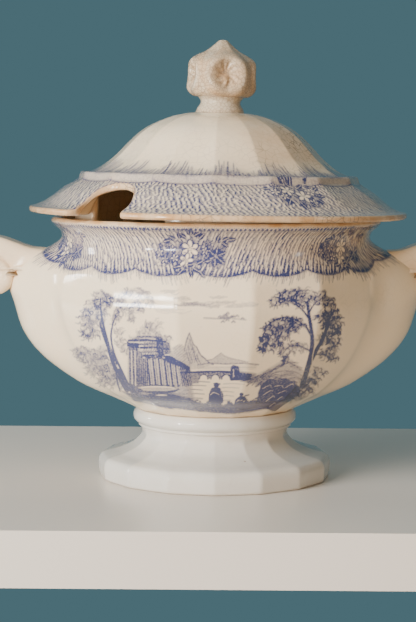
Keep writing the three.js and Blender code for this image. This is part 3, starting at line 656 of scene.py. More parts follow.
def draw_bouquet(c, s, rng):
    """A spray of flowers and leaves on the bowl's neck, centred at arc s."""
    for x, y, rx, ry in ((-1, 149, 9, 7), (-14, 147.6, 9, 6), (13, 148, 8, 7), (-3, 142, 8, 4)):
        c.oval(s + x, y, rx, ry, 0.30, soft=3)
    for x, y in ((-16, 147), (-12, 146), (-18.6, 145), (-14, 142.6), (-8, 146), (-7.6, 151.6), (4.4, 147.6),
                 (3, 143), (-8, 141), (9.6, 151.4), (8.4, 145), (17.4, 149.4), (12, 141.6), (-20.6, 150),
                 (18, 143)):
        c.oval(s + x, y, 1.9 + 0.8 * rng.random(), 1.5 + 0.6 * rng.random(), 0.62, rng.random() * 3, soft=1.0)
    c.bend([(s - 14, 155.4), (s - 9, 154.6), (s - 4, 153), (s + 3, 152), (s + 12, 153.6), (s + 22, 155.6)],
           0.55, 0.7)
    c.bend([(s - 2, 152), (s - 1, 156.4), (s - 0.4, 160.6)], 0.5, 0.7)
    for x, y, length, turn in ((-10.6, 155, 5, 2.5), (-13.4, 155.2, 5.2, 3.4), (-7.6, 156, 4, 1.6),
                               (-3.6, 156.4, 4.6, 2.5), (-0.6, 158.4, 4.4, 1.4), (0.6, 157.6, 5.4, 0.5),
                               (3.4, 155.6, 5.6, 0.75), (14.4, 154.4, 4.6, 1.2), (17.4, 154.8, 5, 0.5),
                               (20.6, 155.4, 5.2, 0.1), (17.6, 154, 4.6, -0.6)):
        c.leaf(s + x, y, 1.1 * length, 3.0, turn, 0.95)
    for x, y, size in ((-20.6, 147.6, 2.6), (-17, 143.8, 2.4), (-12.6, 149.8, 2.5), (-11, 144.6, 2.7),
                       (-15.6, 151.6, 1.8), (7.6, 149, 2.4), (-20, 151.6, 1.6), (9, 154, 1.9)):
        c.flower(s + x, y, size, 5, 0.72, rng.random())
    c.flower(s - 1.7, 150, 5.2, 6, 0.72, 0.5)
    c.flower(s - 3.8, 143.3, 4.2, 5, 0.62, 0.1)
    for turn, length in ((0.35, 6.4), (1.35, 5.6), (2.45, 5.8), (3.6, 5.4), (4.6, 6), (5.6, 6.4)):
        c.leaf(s + 13.8, 146, 1.12 * length, 4.0, turn, 1.0)
    for x, y, turn in ((-6.4, 140.2, 3.3), (-3.4, 140.6, 0.2), (0.6, 139.4, -0.5), (-5, 138.6, 4),
                       (2.6, 141.4, 0.5), (6.6, 142.6, 0.2), (-1, 138.2, -1.2), (4.6, 137.6, -0.9)):
        c.leaf(s + x, y, 5, 2.8, turn, 1.0)
    for _ in range(60):
        x, y = rng.normal(-13, 7), rng.normal(146.5, 3.6)
        c.oval(s + x, y, 0.5, 0.45, 0.6)


def leaning(degrees):
    """Which way the border's strokes lean, away from the nearest bouquet."""
    return 1 if math.sin(math.radians(3 * (degrees - BOUQUET_START))) >= 0 else -1


def draw_neck_ground(c):
    """The border's blue ground, deepest along its scalloped edge."""
    degrees = np.linspace(-180, 180, 1441)
    line = np.stack([np.radians(degrees) * BORDER_R, scallop_edge(degrees)], -1)
    height = c.y[:, None] - np.interp(c.x, line[:, 0], line[:, 1])[None, :]
    wash = 0.36 + 0.46 * np.clip(1 - height / 13, 0, 1) ** 1.1
    c.ink = np.maximum(c.ink, np.where((height > 0) & (c.y[:, None] < 161.5), wash, 0))
    c.stroke(line, 0.8, 0.55, soft=0.6)


def draw_neck_feathers(c, rng):
    """Rows of slanting strokes, blue ones over the ground and white ones that bare it."""
    for row, top in enumerate((161, 158.6, 155.4, 152.2, 149, 145.8, 142.6, 139.6)):
        for i in range(FEATHERS):
            degrees = -180 + (i + 0.5 * (row % 2) + rng.normal(0, 0.16)) * 360 / FEATHERS
            s, low = arc(degrees), float(scallop_edge(degrees))
            y = top + rng.normal(0, 0.7)
            length = 3.6 + 1.6 * rng.random()
            if y - length < low + 0.4:
                length = y - low - 0.4
            if length < 1.2:
                continue
            reach = leaning(degrees) * 0.42 * length
            middle = (s + 0.35 * reach, y - 0.5 * length)
            c.stroke([(s + reach, y), middle, (s, y - length)], 0.95, WIPE, 0.4, soft=0.5)
            c.stroke([(s + reach + 1.1, y + 0.4), (middle[0] + 1.1, middle[1]), (s + 1.1, y - length)], 0.7,
                     0.52 + 0.3 * rng.random(), 0.4)


def draw_neck_fringe(c, rng):
    """Short strokes that hang below the scallops."""
    for i in range(FRINGES):
        degrees = -180 + (i + rng.random() * 0.6) * 360 / FRINGES
        s, low = arc(degrees), float(scallop_edge(degrees))
        length = 1.8 + 4.2 * rng.random() ** 1.5
        tone = 0.26 + 0.4 * rng.random()
        c.stroke([(s, low + 0.5), (s - leaning(degrees) * 0.45 * length, low - length)], 0.7, tone, 0.35)


def draw_rim_chain(c):
    for row, y in enumerate((163.3, 161.6)):
        for i in range(FEATHERS):
            s = arc(-180 + (i + 0.5 * row) * 360 / FEATHERS)
            c.shape([(s - 1.0, y), (s, y + 1.0), (s + 1.0, y), (s, y - 1.0)], 0.88)
    draw_ring(c, 164.4, 0.5, 0.7)
    draw_ring(c, 160.4, 0.5, 0.5)


def neck_border():
    rng = np.random.default_rng(5)
    c = Canvas(-317, 317, 126, 165)
    draw_neck_ground(c)
    draw_neck_feathers(c, rng)
    draw_neck_fringe(c, rng)
    for k in range(-3, 4):
        draw_bouquet(c, arc(BOUQUET_START + k * BOUQUET_STEP), rng)
    draw_rim_chain(c)
    c.ink = np.clip(1.2 * c.ink, 0, 1)
    return c


LID_BOUQUETS = (28, 148, -92)  # degrees
COMMAS = 214  # in a row
TUFTS = 16
TUFT_START = 20  # degrees
GRASSES = 520
RING_TICKS = 420
EDGE_DOTS = 262


def draw_brim_ground(c, rng):
    """A blue ground with rows of small white commas, and fine blue hooks between them."""
    ring = c.y[:, None]
    c.ink += 0.54 * smoothstep(ring, 88.8, 90.2) * (1 - smoothstep(ring, 115.6, 116.6))
    for row in range(9):
        for i in range(COMMAS):
            s = arc(-180 + (i + 0.5 * (row % 2)) * 360 / COMMAS) + rng.normal(0, 0.35)
            y = 91 + row * 3.0 + rng.normal(0, 0.4)
            turn = 1.2 + rng.normal(0, 0.35)
            half = 1.0 + 0.4 * rng.random()
            dx, dy = half * math.cos(turn), half * math.sin(turn)
            hook = 0.9 * (1 if rng.random() < 0.6 else -1)
            c.stroke([(s - dx, y - dy), (s + 0.2, y), (s + dx + hook, y + dy)], 1.15, WIPE, 0.8, soft=0.5)
            c.stroke([(s + 1.4 - dx, y - dy), (s + 1.5, y + 0.1), (s + 1.3 + dx, y + dy)], 0.8, 0.95, 0.5)


def draw_dome_fringe(c, rng):
    """A wash and tufts of grass that reach from the ring up the dome's foot."""
    ring = c.y[:, None]
    tuft = 0.5 + 0.5 * np.sin(TUFTS * c.x / BORDER_R + math.radians(TUFT_START))[None, :]
    fade = (1 - 0.42 * smoothstep(ring, 86, 86.8)) * (ring < 89.4)
    c.ink += 0.56 * smoothstep(ring, 74 - 9 * tuft, 86) * fade
    for i in range(GRASSES):
        degrees = -180 + (i + rng.random()) * 360 / GRASSES
        s = arc(degrees)
        low = 86 - 2.4 * rng.random()
        longest = 6 + 9 * (0.5 + 0.5 * math.sin(math.radians(TUFTS * degrees + TUFT_START)))
        length = 5 + longest * rng.random()
        lean = 1.4 * (1 if i % 3 else -1)
        c.bend([(s, low), (s + 0.5 * lean, low - 0.5 * length), (s + 1.2 * lean, low - length)], 2.0,
               0.35 + 0.4 * rng.random(), 0.6, soft=0.9)
    for k in range(-8, 9):
        s = arc(k * 22.5 + 9)
        for dx, turn in ((-3, -2.1), (0, -1.6), (3, -1.0), (-1.4, -1.9), (1.8, -1.2)):
            c.leaf(s + dx, 85.4, 9.5 - abs(dx), 2.6, turn, 0.75, vein=False)
    draw_ring(c, 89.4, 0.8, 0.7)
    draw_ring(c, 85.6, 0.5, 0.34)
    for i in range(RING_TICKS):
        s = arc(-180 + i * 360 / RING_TICKS + 0.3 * rng.random())
        c.stroke([(s, 87.4), (s + 0.5, 89)], 0.6, 0.2 + 0.25 * rng.random())


def draw_lid_bouquet(c, s, rng):
    for x, y, rx, ry in ((-9, 96, 9, 6), (3, 99, 10, 7), (-3, 92, 9, 3)):
        c.oval(s + x, y, rx, ry, 0.36, soft=2.5)
    for x, y in ((-12, 94), (-6, 98), (-1, 95), (8, 99), (7, 93), (13, 98.6), (-9, 102), (2, 104), (12, 104),
                 (-15, 99), (0, 100)):
        c.oval(s + x, y, 2.2 + 0.8 * rng.random(), 1.7, 0.66, rng.random() * 3, soft=1.0)
    for x, y, size in ((-14, 96, 3.2), (-9, 99.4, 2.8), (-5, 94, 4.4), (4, 98.6, 4.8), (11, 95, 3.4),
                       (8.4, 103.6, 2.8), (-12, 91, 2.4)):
        c.flower(s + x, y, size, 5, 0.8, rng.random())
    for x, y, length, turn in ((-1, 90, 7, -2.2), (0, 90, 7, -1.2), (3.6, 91.6, 7.6, -0.5),
                               (-4, 88, 6.4, -2.7), (9.6, 90, 6.6, 0.1), (14, 98, 6, 0.3),
                               (15, 94, 6.4, -0.5), (-1, 103, 6.6, 1.2), (4.6, 104, 6, 0.6),
                               (-6, 101.4, 6, 2.2), (12.4, 101, 6, 0.9), (-16.6, 93.4, 5.4, 3.4),
                               (6, 84.6, 6.6, -0.7), (1.4, 83, 5.4, -1.9), (11, 86.4, 5.6, -0.1)):
        c.leaf(s + x, y, length, 3.4, turn, 1.0)
    c.bend([(s - 15, 92), (s - 6, 90), (s + 5, 93), (s + 16, 97)], 0.7, 0.85)


def lid_border():
    rng = np.random.default_rng(8)
    c = Canvas(-317, 317, 68, 121)
    draw_brim_ground(c, rng)
    draw_dome_fringe(c, rng)
    for degrees in LID_BOUQUETS:
        draw_lid_bouquet(c, arc(degrees), rng)
    draw_ring(c, 116.4, 0.4, 0.6)
    for i in range(EDGE_DOTS):
        c.oval(arc(-180 + i * 360 / EDGE_DOTS), 117.6, 0.75, 0.7, 0.95, soft=0.5)
    return c


# ---------------------------------------------------------------- materials

PAPER = (0.92, 0.742, 0.515)
PAPER_COOL = (0.62, 0.585, 0.52)
PAPER_WORN = (0.58, 0.51, 0.38)
INK = (0.018, 0.030, 0.128)
# The brown of stains, also used for painted shade in creases, joints and inside the bowl.
STAIN_AND_SHADE = (0.56, 0.30, 0.12)
CRAZE = (0.25, 0.165, 0.10)
SPECK = (0.22, 0.15, 0.10)


GLAZE_INPUTS = {
    "IOR": 1.5, "Coat Weight": 0.35, "Coat Roughness": 0.05,
    "Subsurface Weight": 0.06, "Subsurface Radius": (0.004, 0.003, 0.002), "Subsurface Scale": 0.5,
}


class Nodes:
    """Short calls for building one material's node tree."""

    def __init__(self, name):
        self.material = bpy.data.materials.new(name)
        self.material.use_nodes = True
        self.tree = self.material.node_tree
        self.shader = self.tree.nodes["Principled BSDF"]

    def put(self, socket, value):
        if isinstance(value, bpy.types.NodeSocket):
            self.tree.links.new(value, socket)
        else:
            socket.default_value = value

    def node(self, kind, inputs, output=0, **settings):
        made = self.tree.nodes.new(kind)
        for key, value in settings.items():
            setattr(made, key, value)
        for key, value in inputs.items():
            self.put(made.inputs[key], value)
        return made.outputs[output]

    def math(self, operation, a, b, clamp=False):
        return self.node("ShaderNodeMath", {0: a, 1: b}, operation=operation, use_clamp=clamp)

    def ramp(self, value, low, high, to_low=0.0, to_high=1.0):
        inputs = {"Value": value, "From Min": low, "From Max": high, "To Min": to_low, "To Max": to_high}
        return self.node("ShaderNodeMapRange", inputs, interpolation_type="SMOOTHSTEP")

    def noise(self, where, scale, detail=3.0, roughness=0.55):
        inputs = {"Vector": where, "Scale": scale, "Detail": detail, "Roughness": roughness}
        return self.node("ShaderNodeTexNoise", inputs)

    def mix(self, factor, a, b):
        made = self.tree.nodes.new("ShaderNodeMix")
        made.data_type = "RGBA"
        colours = [s for s in made.inputs if s.type == "RGBA"]
        self.put(made.inputs[0], factor)
        for socket, value in zip(colours, (a, b)):
            self.put(socket, value if isinstance(value, bpy.types.NodeSocket) else (*value, 1.0))
        return next(s for s in made.outputs if s.type == "RGBA")

    def attribute(self, name):
        made = self.tree.nodes.new("ShaderNodeAttribute")
        made.attribute_name = name
        return made.outputs["Fac"]

    def here(self):
        return self.tree.nodes.new("ShaderNodeTexCoord").outputs["Object"]


def crackle(n, where, scale, width):
    """1 on the fine cracks of a crazed glaze and 0 between them."""
    inputs = {"Vector": where, "Scale": scale * 0.6, "Detail": 2.0}
    wobble = n.node("ShaderNodeTexNoise", inputs, output="Color")
    moved = n.node("ShaderNodeVectorMath", {0: wobble, "Scale": 0.35 / scale}, operation="SCALE")
    shifted = n.node("ShaderNodeVectorMath", {0: where, 1: moved}, operation="ADD")
    edge = n.node("ShaderNodeTexVoronoi", {"Vector": shifted, "Scale": scale}, feature="DISTANCE_TO_EDGE")
    return n.ramp(edge, 0.0, width, 1.0, 0.0)


def glazed(name, craze, stain, printed=False, craze_scale=210.0, crack=0.055, spread=0.12,
           roughness=(0.09, 0.2), paper=PAPER):
    """Old white earthenware under a thick clear glaze, stained, darkened by painted shade and printed by the
    mesh's attributes.

    craze is how dark the cracks are on clean ware and stain how much more they darken on stained ware and
    under painted shade.
    craze_scale sets how close they lie, crack how wide they are, and spread how much of them shows
    outside the densest patches.
    """
    n = Nodes(name)
    where = n.here()
    broad = n.noise(where, 9.0, 2.0)
    fine = n.noise(where, 60.0, 4.0)
    grain = n.noise(where, 900.0, 2.0)
    stains_and_shade = n.attribute("stain")

    warm = n.mix(n.ramp(broad, 0.35, 0.7), paper, tuple(0.95 * v for v in paper))
    body = n.mix(n.ramp(fine, 0.42, 0.75, 0.0, 0.30), warm, tuple(0.25 * 0.86 + 0.75 * v for v in paper))
    blotches = n.ramp(n.noise(where, 75.0, 4.0, 0.65), 0.28, 0.66, 0.5, 1.0)
    # The stain attribute brings in the brown of stains and of painted shade.
    body = n.mix(n.math("MULTIPLY", stains_and_shade, blotches, clamp=True), body, STAIN_AND_SHADE)

    lines = crackle(n, where, craze_scale, crack)
    patches = n.ramp(n.noise(where, 28.0, 3.0), 0.42, 0.68, spread, 1.0)
    amount = n.math("MULTIPLY", patches, n.ramp(stains_and_shade, 0.0, 0.6, craze, min(1.0, craze + stain)))
    body = n.mix(n.math("MULTIPLY", lines, amount, clamp=True), body, CRAZE)
    specks = n.node("ShaderNodeTexVoronoi", {"Vector": where, "Scale": 62.0, "Randomness": 1.0})
    rare = n.math("MULTIPLY", n.ramp(specks, 0.035, 0.06, 1.0, 0.0), n.ramp(n.noise(where, 17.0), 0.56, 0.6))
    body = n.mix(n.math("MULTIPLY", rare, 0.6), body, SPECK)

    if printed:
        ink = n.attribute("print")
        broken = n.math("MULTIPLY", ink, n.ramp(grain, 0.25, 0.75, 0.72, 1.2))
        bled = n.math("MULTIPLY", broken, n.ramp(n.noise(where, 45.0, 2.0), 0.3, 0.7, 0.86, 1.08), clamp=True)
        dense = n.math("POWER", n.math("MULTIPLY", bled, 1.18, clamp=True), 0.78)
        body = n.mix(n.math("MULTIPLY", dense, 0.97), body, INK)

    n.put(n.shader.inputs["Base Color"], body)
    n.put(n.shader.inputs["Roughness"], n.ramp(n.noise(where, 33.0, 3.0), 0.3, 0.75, *roughness))
    for key, value in GLAZE_INPUTS.items():
        n.put(n.shader.inputs[key], value)

    ripple = n.noise(where, 55.0, 1.0)
    pinholes = n.noise(where, 420.0, 2.0)
    height = n.math("ADD", ripple, n.math("MULTIPLY", pinholes, 0.06))
    height = n.math("SUBTRACT", height, n.math("MULTIPLY", n.math("MULTIPLY", lines, amount), 0.02))
    bumps = n.node("ShaderNodeBump", {"Height": height, "Strength": 0.35, "Distance": 0.0008})
    n.put(n.shader.inputs["Normal"], bumps)
    return n.material


# ---------------------------------------------------------------- bowl

def folded(angle):
    return np.arctan2(np.abs(np.sin(angle)), np.abs(np.cos(angle)))


def flat_sides(angle, corners):
    """Radius of a flat-sided section relative to its corners, and 1 past the last corner."""
    value = np.ones_like(angle)
    for low, high in zip(corners[:-1], corners[1:]):
        here = (angle >= low) & (angle <= high)
        value = np.where(here, math.cos((high - low) / 2) / np.cos(angle - (low + high) / 2), value)
    return value


def softened(function, angle, softness):
    """A function of angle averaged over a few degrees, which rounds its corners as glaze does."""
    shifts = np.radians(np.linspace(-softness, softness, 7))
    return sum(function(angle + s) for s in shifts) / len(shifts)


def bowl_panels(angle):
    return flat_sides(folded(angle), np.radians(PANEL_EDGES))


def lobe_share(angle):
    away = (np.pi / 2 - folded(angle)) / math.radians(90 - LOBE_START)
    return np.where(away >= 1, 0, np.cos(np.clip(away, 0, 1) * np.pi / 2) ** LOBE_SHARPNESS)


EYE_BACK = 1082  # the landscape is laid on along lines from a point this far in front of the axis,
EYE_UP = 205  # this high,
LAY_ON = 106  # and is drawn to size at this distance in front of the axis


def bowl_print(points, side_z, share, angle):
    scale = (EYE_BACK - LAY_ON) / (EYE_BACK - np.abs(points[..., 1]))
    across = points[..., 0] * np.where(points[..., 1] < 0, 1, -1) * scale
    up = EYE_UP + (points[..., 2] - EYE_UP) * scale
    scene = landscape().at(across, up)
    # On the lobes the border stops higher, where the neck meets the shoulder.
    level = side_z - 8 * share * (1 - smoothstep(side_z, 146, 157))
    border = neck_border().at(angle * BORDER_R, level)
    return np.maximum(scene, border)


def bowl_stain_and_shade(z, inner):
    """Stains along the rim and round the neck, a stain over the inside with painted shade deepening towards
    the bottom, and faint painted shade just above the collar, where the bowl meets it.
    """
    rim = smoothstep(z, 162.2, 163.8) * 0.95
    neck = 0.16 * smoothstep(z, 157, 164) + 0.10 * bump(z, 150, 7)
    # A stain over the whole inside, and painted shade that deepens towards the bottom.
    inside_stain_and_shade = 0.16 * inner * (1 - smoothstep(z, 50, 90)) + 0.1 * inner
    # Faint painted shade just above the collar, along the joint where shade falls.
    foot = 0.06 * bump(z, 44, 3.5) * ~inner
    return np.clip(np.maximum(rim, neck) + inside_stain_and_shade + foot, 0, 1)


def make_bowl():
    side = BOWL_SIDE + BOWL_LIP + BOWL_INSIDE_SIDE
    lobe = BOWL_LOBE + BOWL_LIP + BOWL_INSIDE_LOBE
    last = len(side) - 1
    ends = (0, 2 / last, (len(BOWL_SIDE) - 0.5) / last, (len(BOWL_SIDE) + len(BOWL_LIP)) / last, 1)
    stretches = [spaced(side, gap, a, b)[1:] for gap, a, b in zip(BOWL_SPACING, ends, ends[1:])]
    t = np.concatenate([[0.0], *stretches])
    s, l = curve(side, t), curve(lobe, t)
    angle = full_turn(BOWL_COLUMNS)
    share = lobe_share(angle)
    outside = t <= (len(BOWL_SIDE) - 1) / last
    strength = np.where(outside, 1 - smoothstep(s[:, 1], *PANELS_FADE), 0)[:, None]
    flat = 1 + (softened(bowl_panels, angle, PANEL_SOFTNESS)[None, :] - 1) * strength
    radius = (s[:, :1] * (1 - share) + l[:, :1] * share) * flat
    z = s[:, 1:] * (1 - share) + l[:, 1:] * share
    points = place(radius, angle[None, :], z)
    side_z = np.broadcast_to(s[:, 1:], z.shape)
    ink = bowl_print(points, side_z, share[None, :], np.broadcast_to(angle[None, :], z.shape))
    floats = {"print": np.where(outside[:, None], ink, 0), "stain": bowl_stain_and_shade(z, ~outside[:, None])}
    material = glazed("printed_glaze_bowl", printed=True, craze=0.10, stain=0.5)
    bowl = grid_piece("bowl", points, material, floats)
    fit(bowl, "bowl", "bowl_body")


# ---------------------------------------------------------------- foot and collar

def regular(angle, sides, turn=0.0):
    side = TAU / sides
    within = (angle - turn) % side
    return math.cos(side / 2) / np.cos(within - side / 2)


def make_foot():
    angle = full_turn(480)
    outside = curve(FOOT_OUTSIDE, spaced(FOOT_OUTSIDE, 0.9))
    inside = curve(FOOT_INSIDE, spaced(FOOT_INSIDE, 2.0))
    sides = softened(lambda a: regular(a, FOOT_SIDES), angle, 1.0)
    strength = 1 - 0.75 * smoothstep(outside[:, 1:], FOOT_WAIST_Z - 3, FOOT_WAIST_Z + 1)
    strength = strength * smoothstep(outside[:, 1:], -0.2, 1.5)
    strength = np.maximum(strength, 0.85 * (outside[:, 1:] < 3))
    outer = place(outside[:, :1] * (1 + (sides[None, :] - 1) * strength), angle[None, :], outside[:, 1:])
    inner = place(inside[:, :1], angle[None, :], inside[:, 1:])
    points = np.concatenate([outer, inner])
    z = points[..., 2]
    # Wear on the standing edge, and faint painted shade at the top, where the foot meets the collar.
    wear_and_joint_shade = 0.22 * bump(z, 0, 1.0) + 0.04 * bump(z, 31, 3)
    material = glazed("plain_glaze_foot", craze=0.06, stain=0.4, paper=PAPER_COOL)
    foot = grid_piece("foot", points, material, {"stain": np.clip(wear_and_joint_shade, 0, 1)}, loop=True)
    fit(foot, "bowl", "foot_pedestal")


def make_collar():
    angle = full_turn(256)
    outline = curve(COLLAR_OUTLINE, spaced(COLLAR_OUTLINE, 0.7))
    points = place(outline[:, :1], angle[None, :], outline[:, 1:])
    z = points[..., 2]
    # Faint painted shade along the collar's joints with the bowl above and the foot below.
    stain = 0.05 * bump(z, 43.5, 1.2) + 0.05 * bump(z, 33, 1.4)
    material = glazed("plain_glaze_collar", craze=0.06, stain=0.4, paper=PAPER_COOL)
    collar = grid_piece("collar", points, material, {"stain": stain}, loop=True)
    fit(collar, "bowl", "foot_collar")


# ---------------------------------------------------------------- handles

def handle_outline():
    """The scroll's side outline in (x, z), from its root over the crest and round the roll."""
    top = [(99, 143.4), (104, 144.6), (110, 145.4), (118, 146.2), (127, 149), (136, 151.9), (145, 152.6),
           (154.6, 149.2), (161.4, 142), (164.2, 132.6), (162, 123.4), (154.6, 117.4),
           (SCROLL_X + 1, SCROLL_Z - SCROLL_R)]
    angles = np.linspace(-1.62, -math.pi * 1.03, 7)
    roll = [(SCROLL_X + SCROLL_R * math.cos(a), SCROLL_Z + SCROLL_R * math.sin(a)) for a in angles[1:]]
    root = [(127.4, 122.6), (124, 121), (110, 121), (100, 122)]
    return top + roll + root


def spiral_path():
    """The line that the rolled strap's inner edge follows on the side of the scroll."""
    turn = np.linspace(0, 2.35 * math.pi, 60)
    radius = 13.4 - 10.6 * turn / turn[-1]
    coil = np.stack([SCROLL_X + 2.2 - radius * np.cos(turn), SCROLL_Z + 1.2 + radius * np.sin(turn)], -1)
    entry = np.array([(110, 130.4), (117, 132), (123, 132)])
    return np.vstack([curve(entry, np.linspace(0, 1, 16)), coil])


def near(points, path):
    """Distance from each point to a path."""
    x, y = points[..., 0], points[..., 1]
    return np.min([to_segment(x, y, a, b)[1] for a, b in zip(path[:-1], path[1:])], axis=0)


def handle_heart(edge):
    """For each point of the side outline, the place on the scroll's spine that the side face closes on."""
    spine = np.array([(104, 134), (118, 135), (130, 132.6), (SCROLL_X + 2.5, SCROLL_Z + 3.4)])
    steps = curve(spine, np.linspace(0, 1, 200))
    heart = np.array([steps[np.argmin(np.linalg.norm(steps - e, axis=1))] for e in edge])
    heart[:] = curve(np.vstack([heart[:1], heart, heart[-1:]]), np.linspace(0, 1, len(edge)))
    kernel = np.ones(15) / 15
    for axis in range(2):
        padded = np.pad(heart[:, axis], 7, mode="edge")
        heart[:, axis] = np.convolve(padded, kernel, mode="valid")
    return heart


def handle_side(edge, heart, groove):
    """Rows of (side outline, distance from the middle plane) over one side face and its rounded edge."""
    tangent = np.gradient(edge, axis=0)
    tangent /= np.linalg.norm(tangent, axis=1)[:, None]
    normal = np.stack([-tangent[:, 1], tangent[:, 0]], -1)
    normal *= np.sign(np.einsum("ij,ij->i", heart - edge, normal).mean())
    shoulder = edge + normal * HANDLE_EDGE
    rows = []
    for share in np.linspace(0.97, 0.04, 15):
        p = shoulder + (heart - shoulder) * share
        rows.append((p, HANDLE_HALF - 0.5 * share - 1.5 * bump(near(p, groove), 0, 1.15)))
    for a in np.linspace(0, np.pi / 2, 9)[1:]:
        out = HANDLE_HALF - HANDLE_EDGE * 0.72 * (1 - math.cos(a))
        rows.append((edge + normal * HANDLE_EDGE * (1 - math.sin(a)), np.full(len(edge), out)))
    return rows


def flared(points):
    """The strap's root, spread and let down over the lobe."""
    x, y, z = np.abs(points[..., 0]), points[..., 1], points[..., 2]
    start, end = HANDLE_FLARE
    flare = np.clip((start - x) / (start - end), 0, 1) ** 2
    across = y / HANDLE_HALF
    high, low = HANDLE_SPREAD_Z
    sunk = np.clip((high - z) / (high - low), 0, 1)
    return np.stack([points[..., 0], y + across * HANDLE_SPREAD * flare * sunk,
                     z - HANDLE_DROOP * flare * across**2], -1)


def handle_stain_and_shade(points, groove):
    """Painted shade in the scroll's groove and in the hollow between the roll and the lobe, over an even
    light stain.
    """
    x, y, z = np.abs(points[..., 0]), points[..., 1], points[..., 2]
    # Painted shade along the groove and behind the roll, where shade falls.
    crease_shade = bump(near(np.stack([x, z], -1), groove), 0, 1.6) * (np.abs(y) > HANDLE_HALF - 4)
    web_shade = np.exp(-(((x - 124) / 6) ** 2) - ((z - 129) / 8) ** 2)
    return np.clip(0.35 * crease_shade + 0.5 * web_shade + 0.12, 0, 1)


def make_handle(name, node, direction, material):
    outline = handle_outline()
    edge = curve(outline, spaced(outline, 0.9))
    groove = spiral_path()
    side = handle_side(edge, handle_heart(edge), groove)
    rows = [np.stack([direction * p[:, 0], -y, p[:, 1]], -1) for p, y in side]
    others = [np.stack([direction * p[:, 0], y, p[:, 1]], -1) for p, y in side[::-1]]
    before, after = rows[-1], others[0]
    fill = [before + (after - before) * k for k in np.linspace(0, 1, 14)[1:-1]]
    points = flared(np.array(rows + fill + others))
    piece = grid_piece(name, points, material, {"stain": handle_stain_and_shade(points, groove)})
    fit(piece, "bowl", node)


def make_handles():
    material = glazed("plain_glaze_handles", craze=0.14, stain=0.5, craze_scale=95.0)
    make_handle("scroll_right", "handle_right", 1, material)
    make_handle("scroll_left", "handle_left", -1, material)


# ---------------------------------------------------------------- lid

def lid_matrix():
    """The lid's own frame, which leans and is shifted on the bowl."""
    to_seat = Matrix.Translation((LID_SHIFT * MM, 0, LID_SEAT_Z * MM))
    lean = Matrix.Rotation(math.radians(LID_LEAN), 4, "Y")
    return to_seat @ lean @ Matrix.Translation((0, 0, -LID_SEAT_Z * MM))


def finial_matrix():
    up = Matrix.Translation((0, 0, LID_TOP_Z * MM))
    down = Matrix.Translation((0, 0, (FINIAL_LIFT - LID_TOP_Z) * MM))
    return lid_matrix() @ up @ Matrix.Rotation(math.radians(FINIAL_LEAN), 4, "Y") @ down


def notch_half():
    """One half of the notch's edge, from its inner end to the lid's rim, as (along, across) the notch."""
    turn = np.linspace(0, np.pi / 2, 26)
    end = np.stack([NOTCH_CENTRE_R - NOTCH_HALF_WIDTH * np.cos(turn), NOTCH_HALF_WIDTH * np.sin(turn)], -1)
    lip = [(110.6, 18.0), (112.8, 18.3), (114.8, 19.1), (116.4, 20.5), (117.3, 22.4), (117.3, 24.6)]
    # The last point lies on the rim: 117.3, 24.6 is 119.85 from the axis, so the lip is scaled back to it.
    lip = [(x * min(1, LID_R / math.hypot(x, y)), y * min(1, LID_R / math.hypot(x, y))) for x, y in lip]
    return np.vstack([end, curve([tuple(end[-1]), *lip], np.linspace(0, 1, 28))[1:]])


def lid_edge():
    """The lid's outline in plan, and for each point the angle its mesh column starts from on the dome."""
    half = notch_half()
    mouth = math.atan2(half[-1, 1], half[-1, 0])
    start_spread = mouth + math.radians(4)
    run = np.concatenate([[0], np.cumsum(np.linalg.norm(np.diff(half, axis=0), axis=1))])
    run /= run[-1]
    inner = start_spread * run**0.85
    around = np.linspace(mouth, TAU - mouth, LID_COLUMNS - 2 * len(half) + 2)[1:-1]
    ease = np.exp(-((around - mouth) / 0.30) ** 2) - np.exp(-((TAU - mouth - around) / 0.30) ** 2)
    starts = around + math.radians(4) * ease
    outline = np.vstack([
        half, LID_R * np.stack([np.cos(around), np.sin(around)], -1), (half * (1, -1))[::-1][:-1],
    ])
    angles = np.concatenate([inner, starts, (TAU - inner)[::-1][:-1]])
    return outline, angles


def lid_facets(angle):
    return regular(angle, LID_SIDES, math.radians(LID_TURN))


def lid_top_z(radius, angle):
    """Height of the lid's upper surface, which is flat-sided on the dome and round at the brim."""
    flat = softened(lid_facets, angle, 0.9) - 1
    amount = smoothstep(radius, 12, 26) * (1 - smoothstep(radius, 88, 114))
    profile = curve(LID_TOP, np.linspace(0, 1, 1200))
    return np.interp(radius / (1 + flat * amount), profile[:, 0], profile[:, 1])


def lid_under_z(radius):
    profile = curve(LID_UNDER, np.linspace(0, 1, 1200))
    return np.interp(radius, profile[:, 0], profile[:, 1])


def lid_under(plan, turn):
    """Height of the underside at plan points in the notch's frame, thinned to a shell round the notch."""
    radius = np.linalg.norm(plan, axis=-1)
    angle = np.arctan2(plan[..., 1], plan[..., 0]) + turn
    past = np.where(plan[..., 0] > NOTCH_CENTRE_R, np.abs(plan[..., 1]),
                    np.hypot(plan[..., 0] - NOTCH_CENTRE_R, plan[..., 1])) - NOTCH_HALF_WIDTH
    beside = 1 - smoothstep(past, SCOOP_SPARE - 3, SCOOP_SPARE)
    within = 1 - smoothstep(radius, SCOOP_OUTER_R - 3, SCOOP_OUTER_R + 1)
    deep = lid_under_z(radius)
    return deep + np.maximum(lid_top_z(radius, angle) - SCOOP_WALL - deep, 0) * beside * within


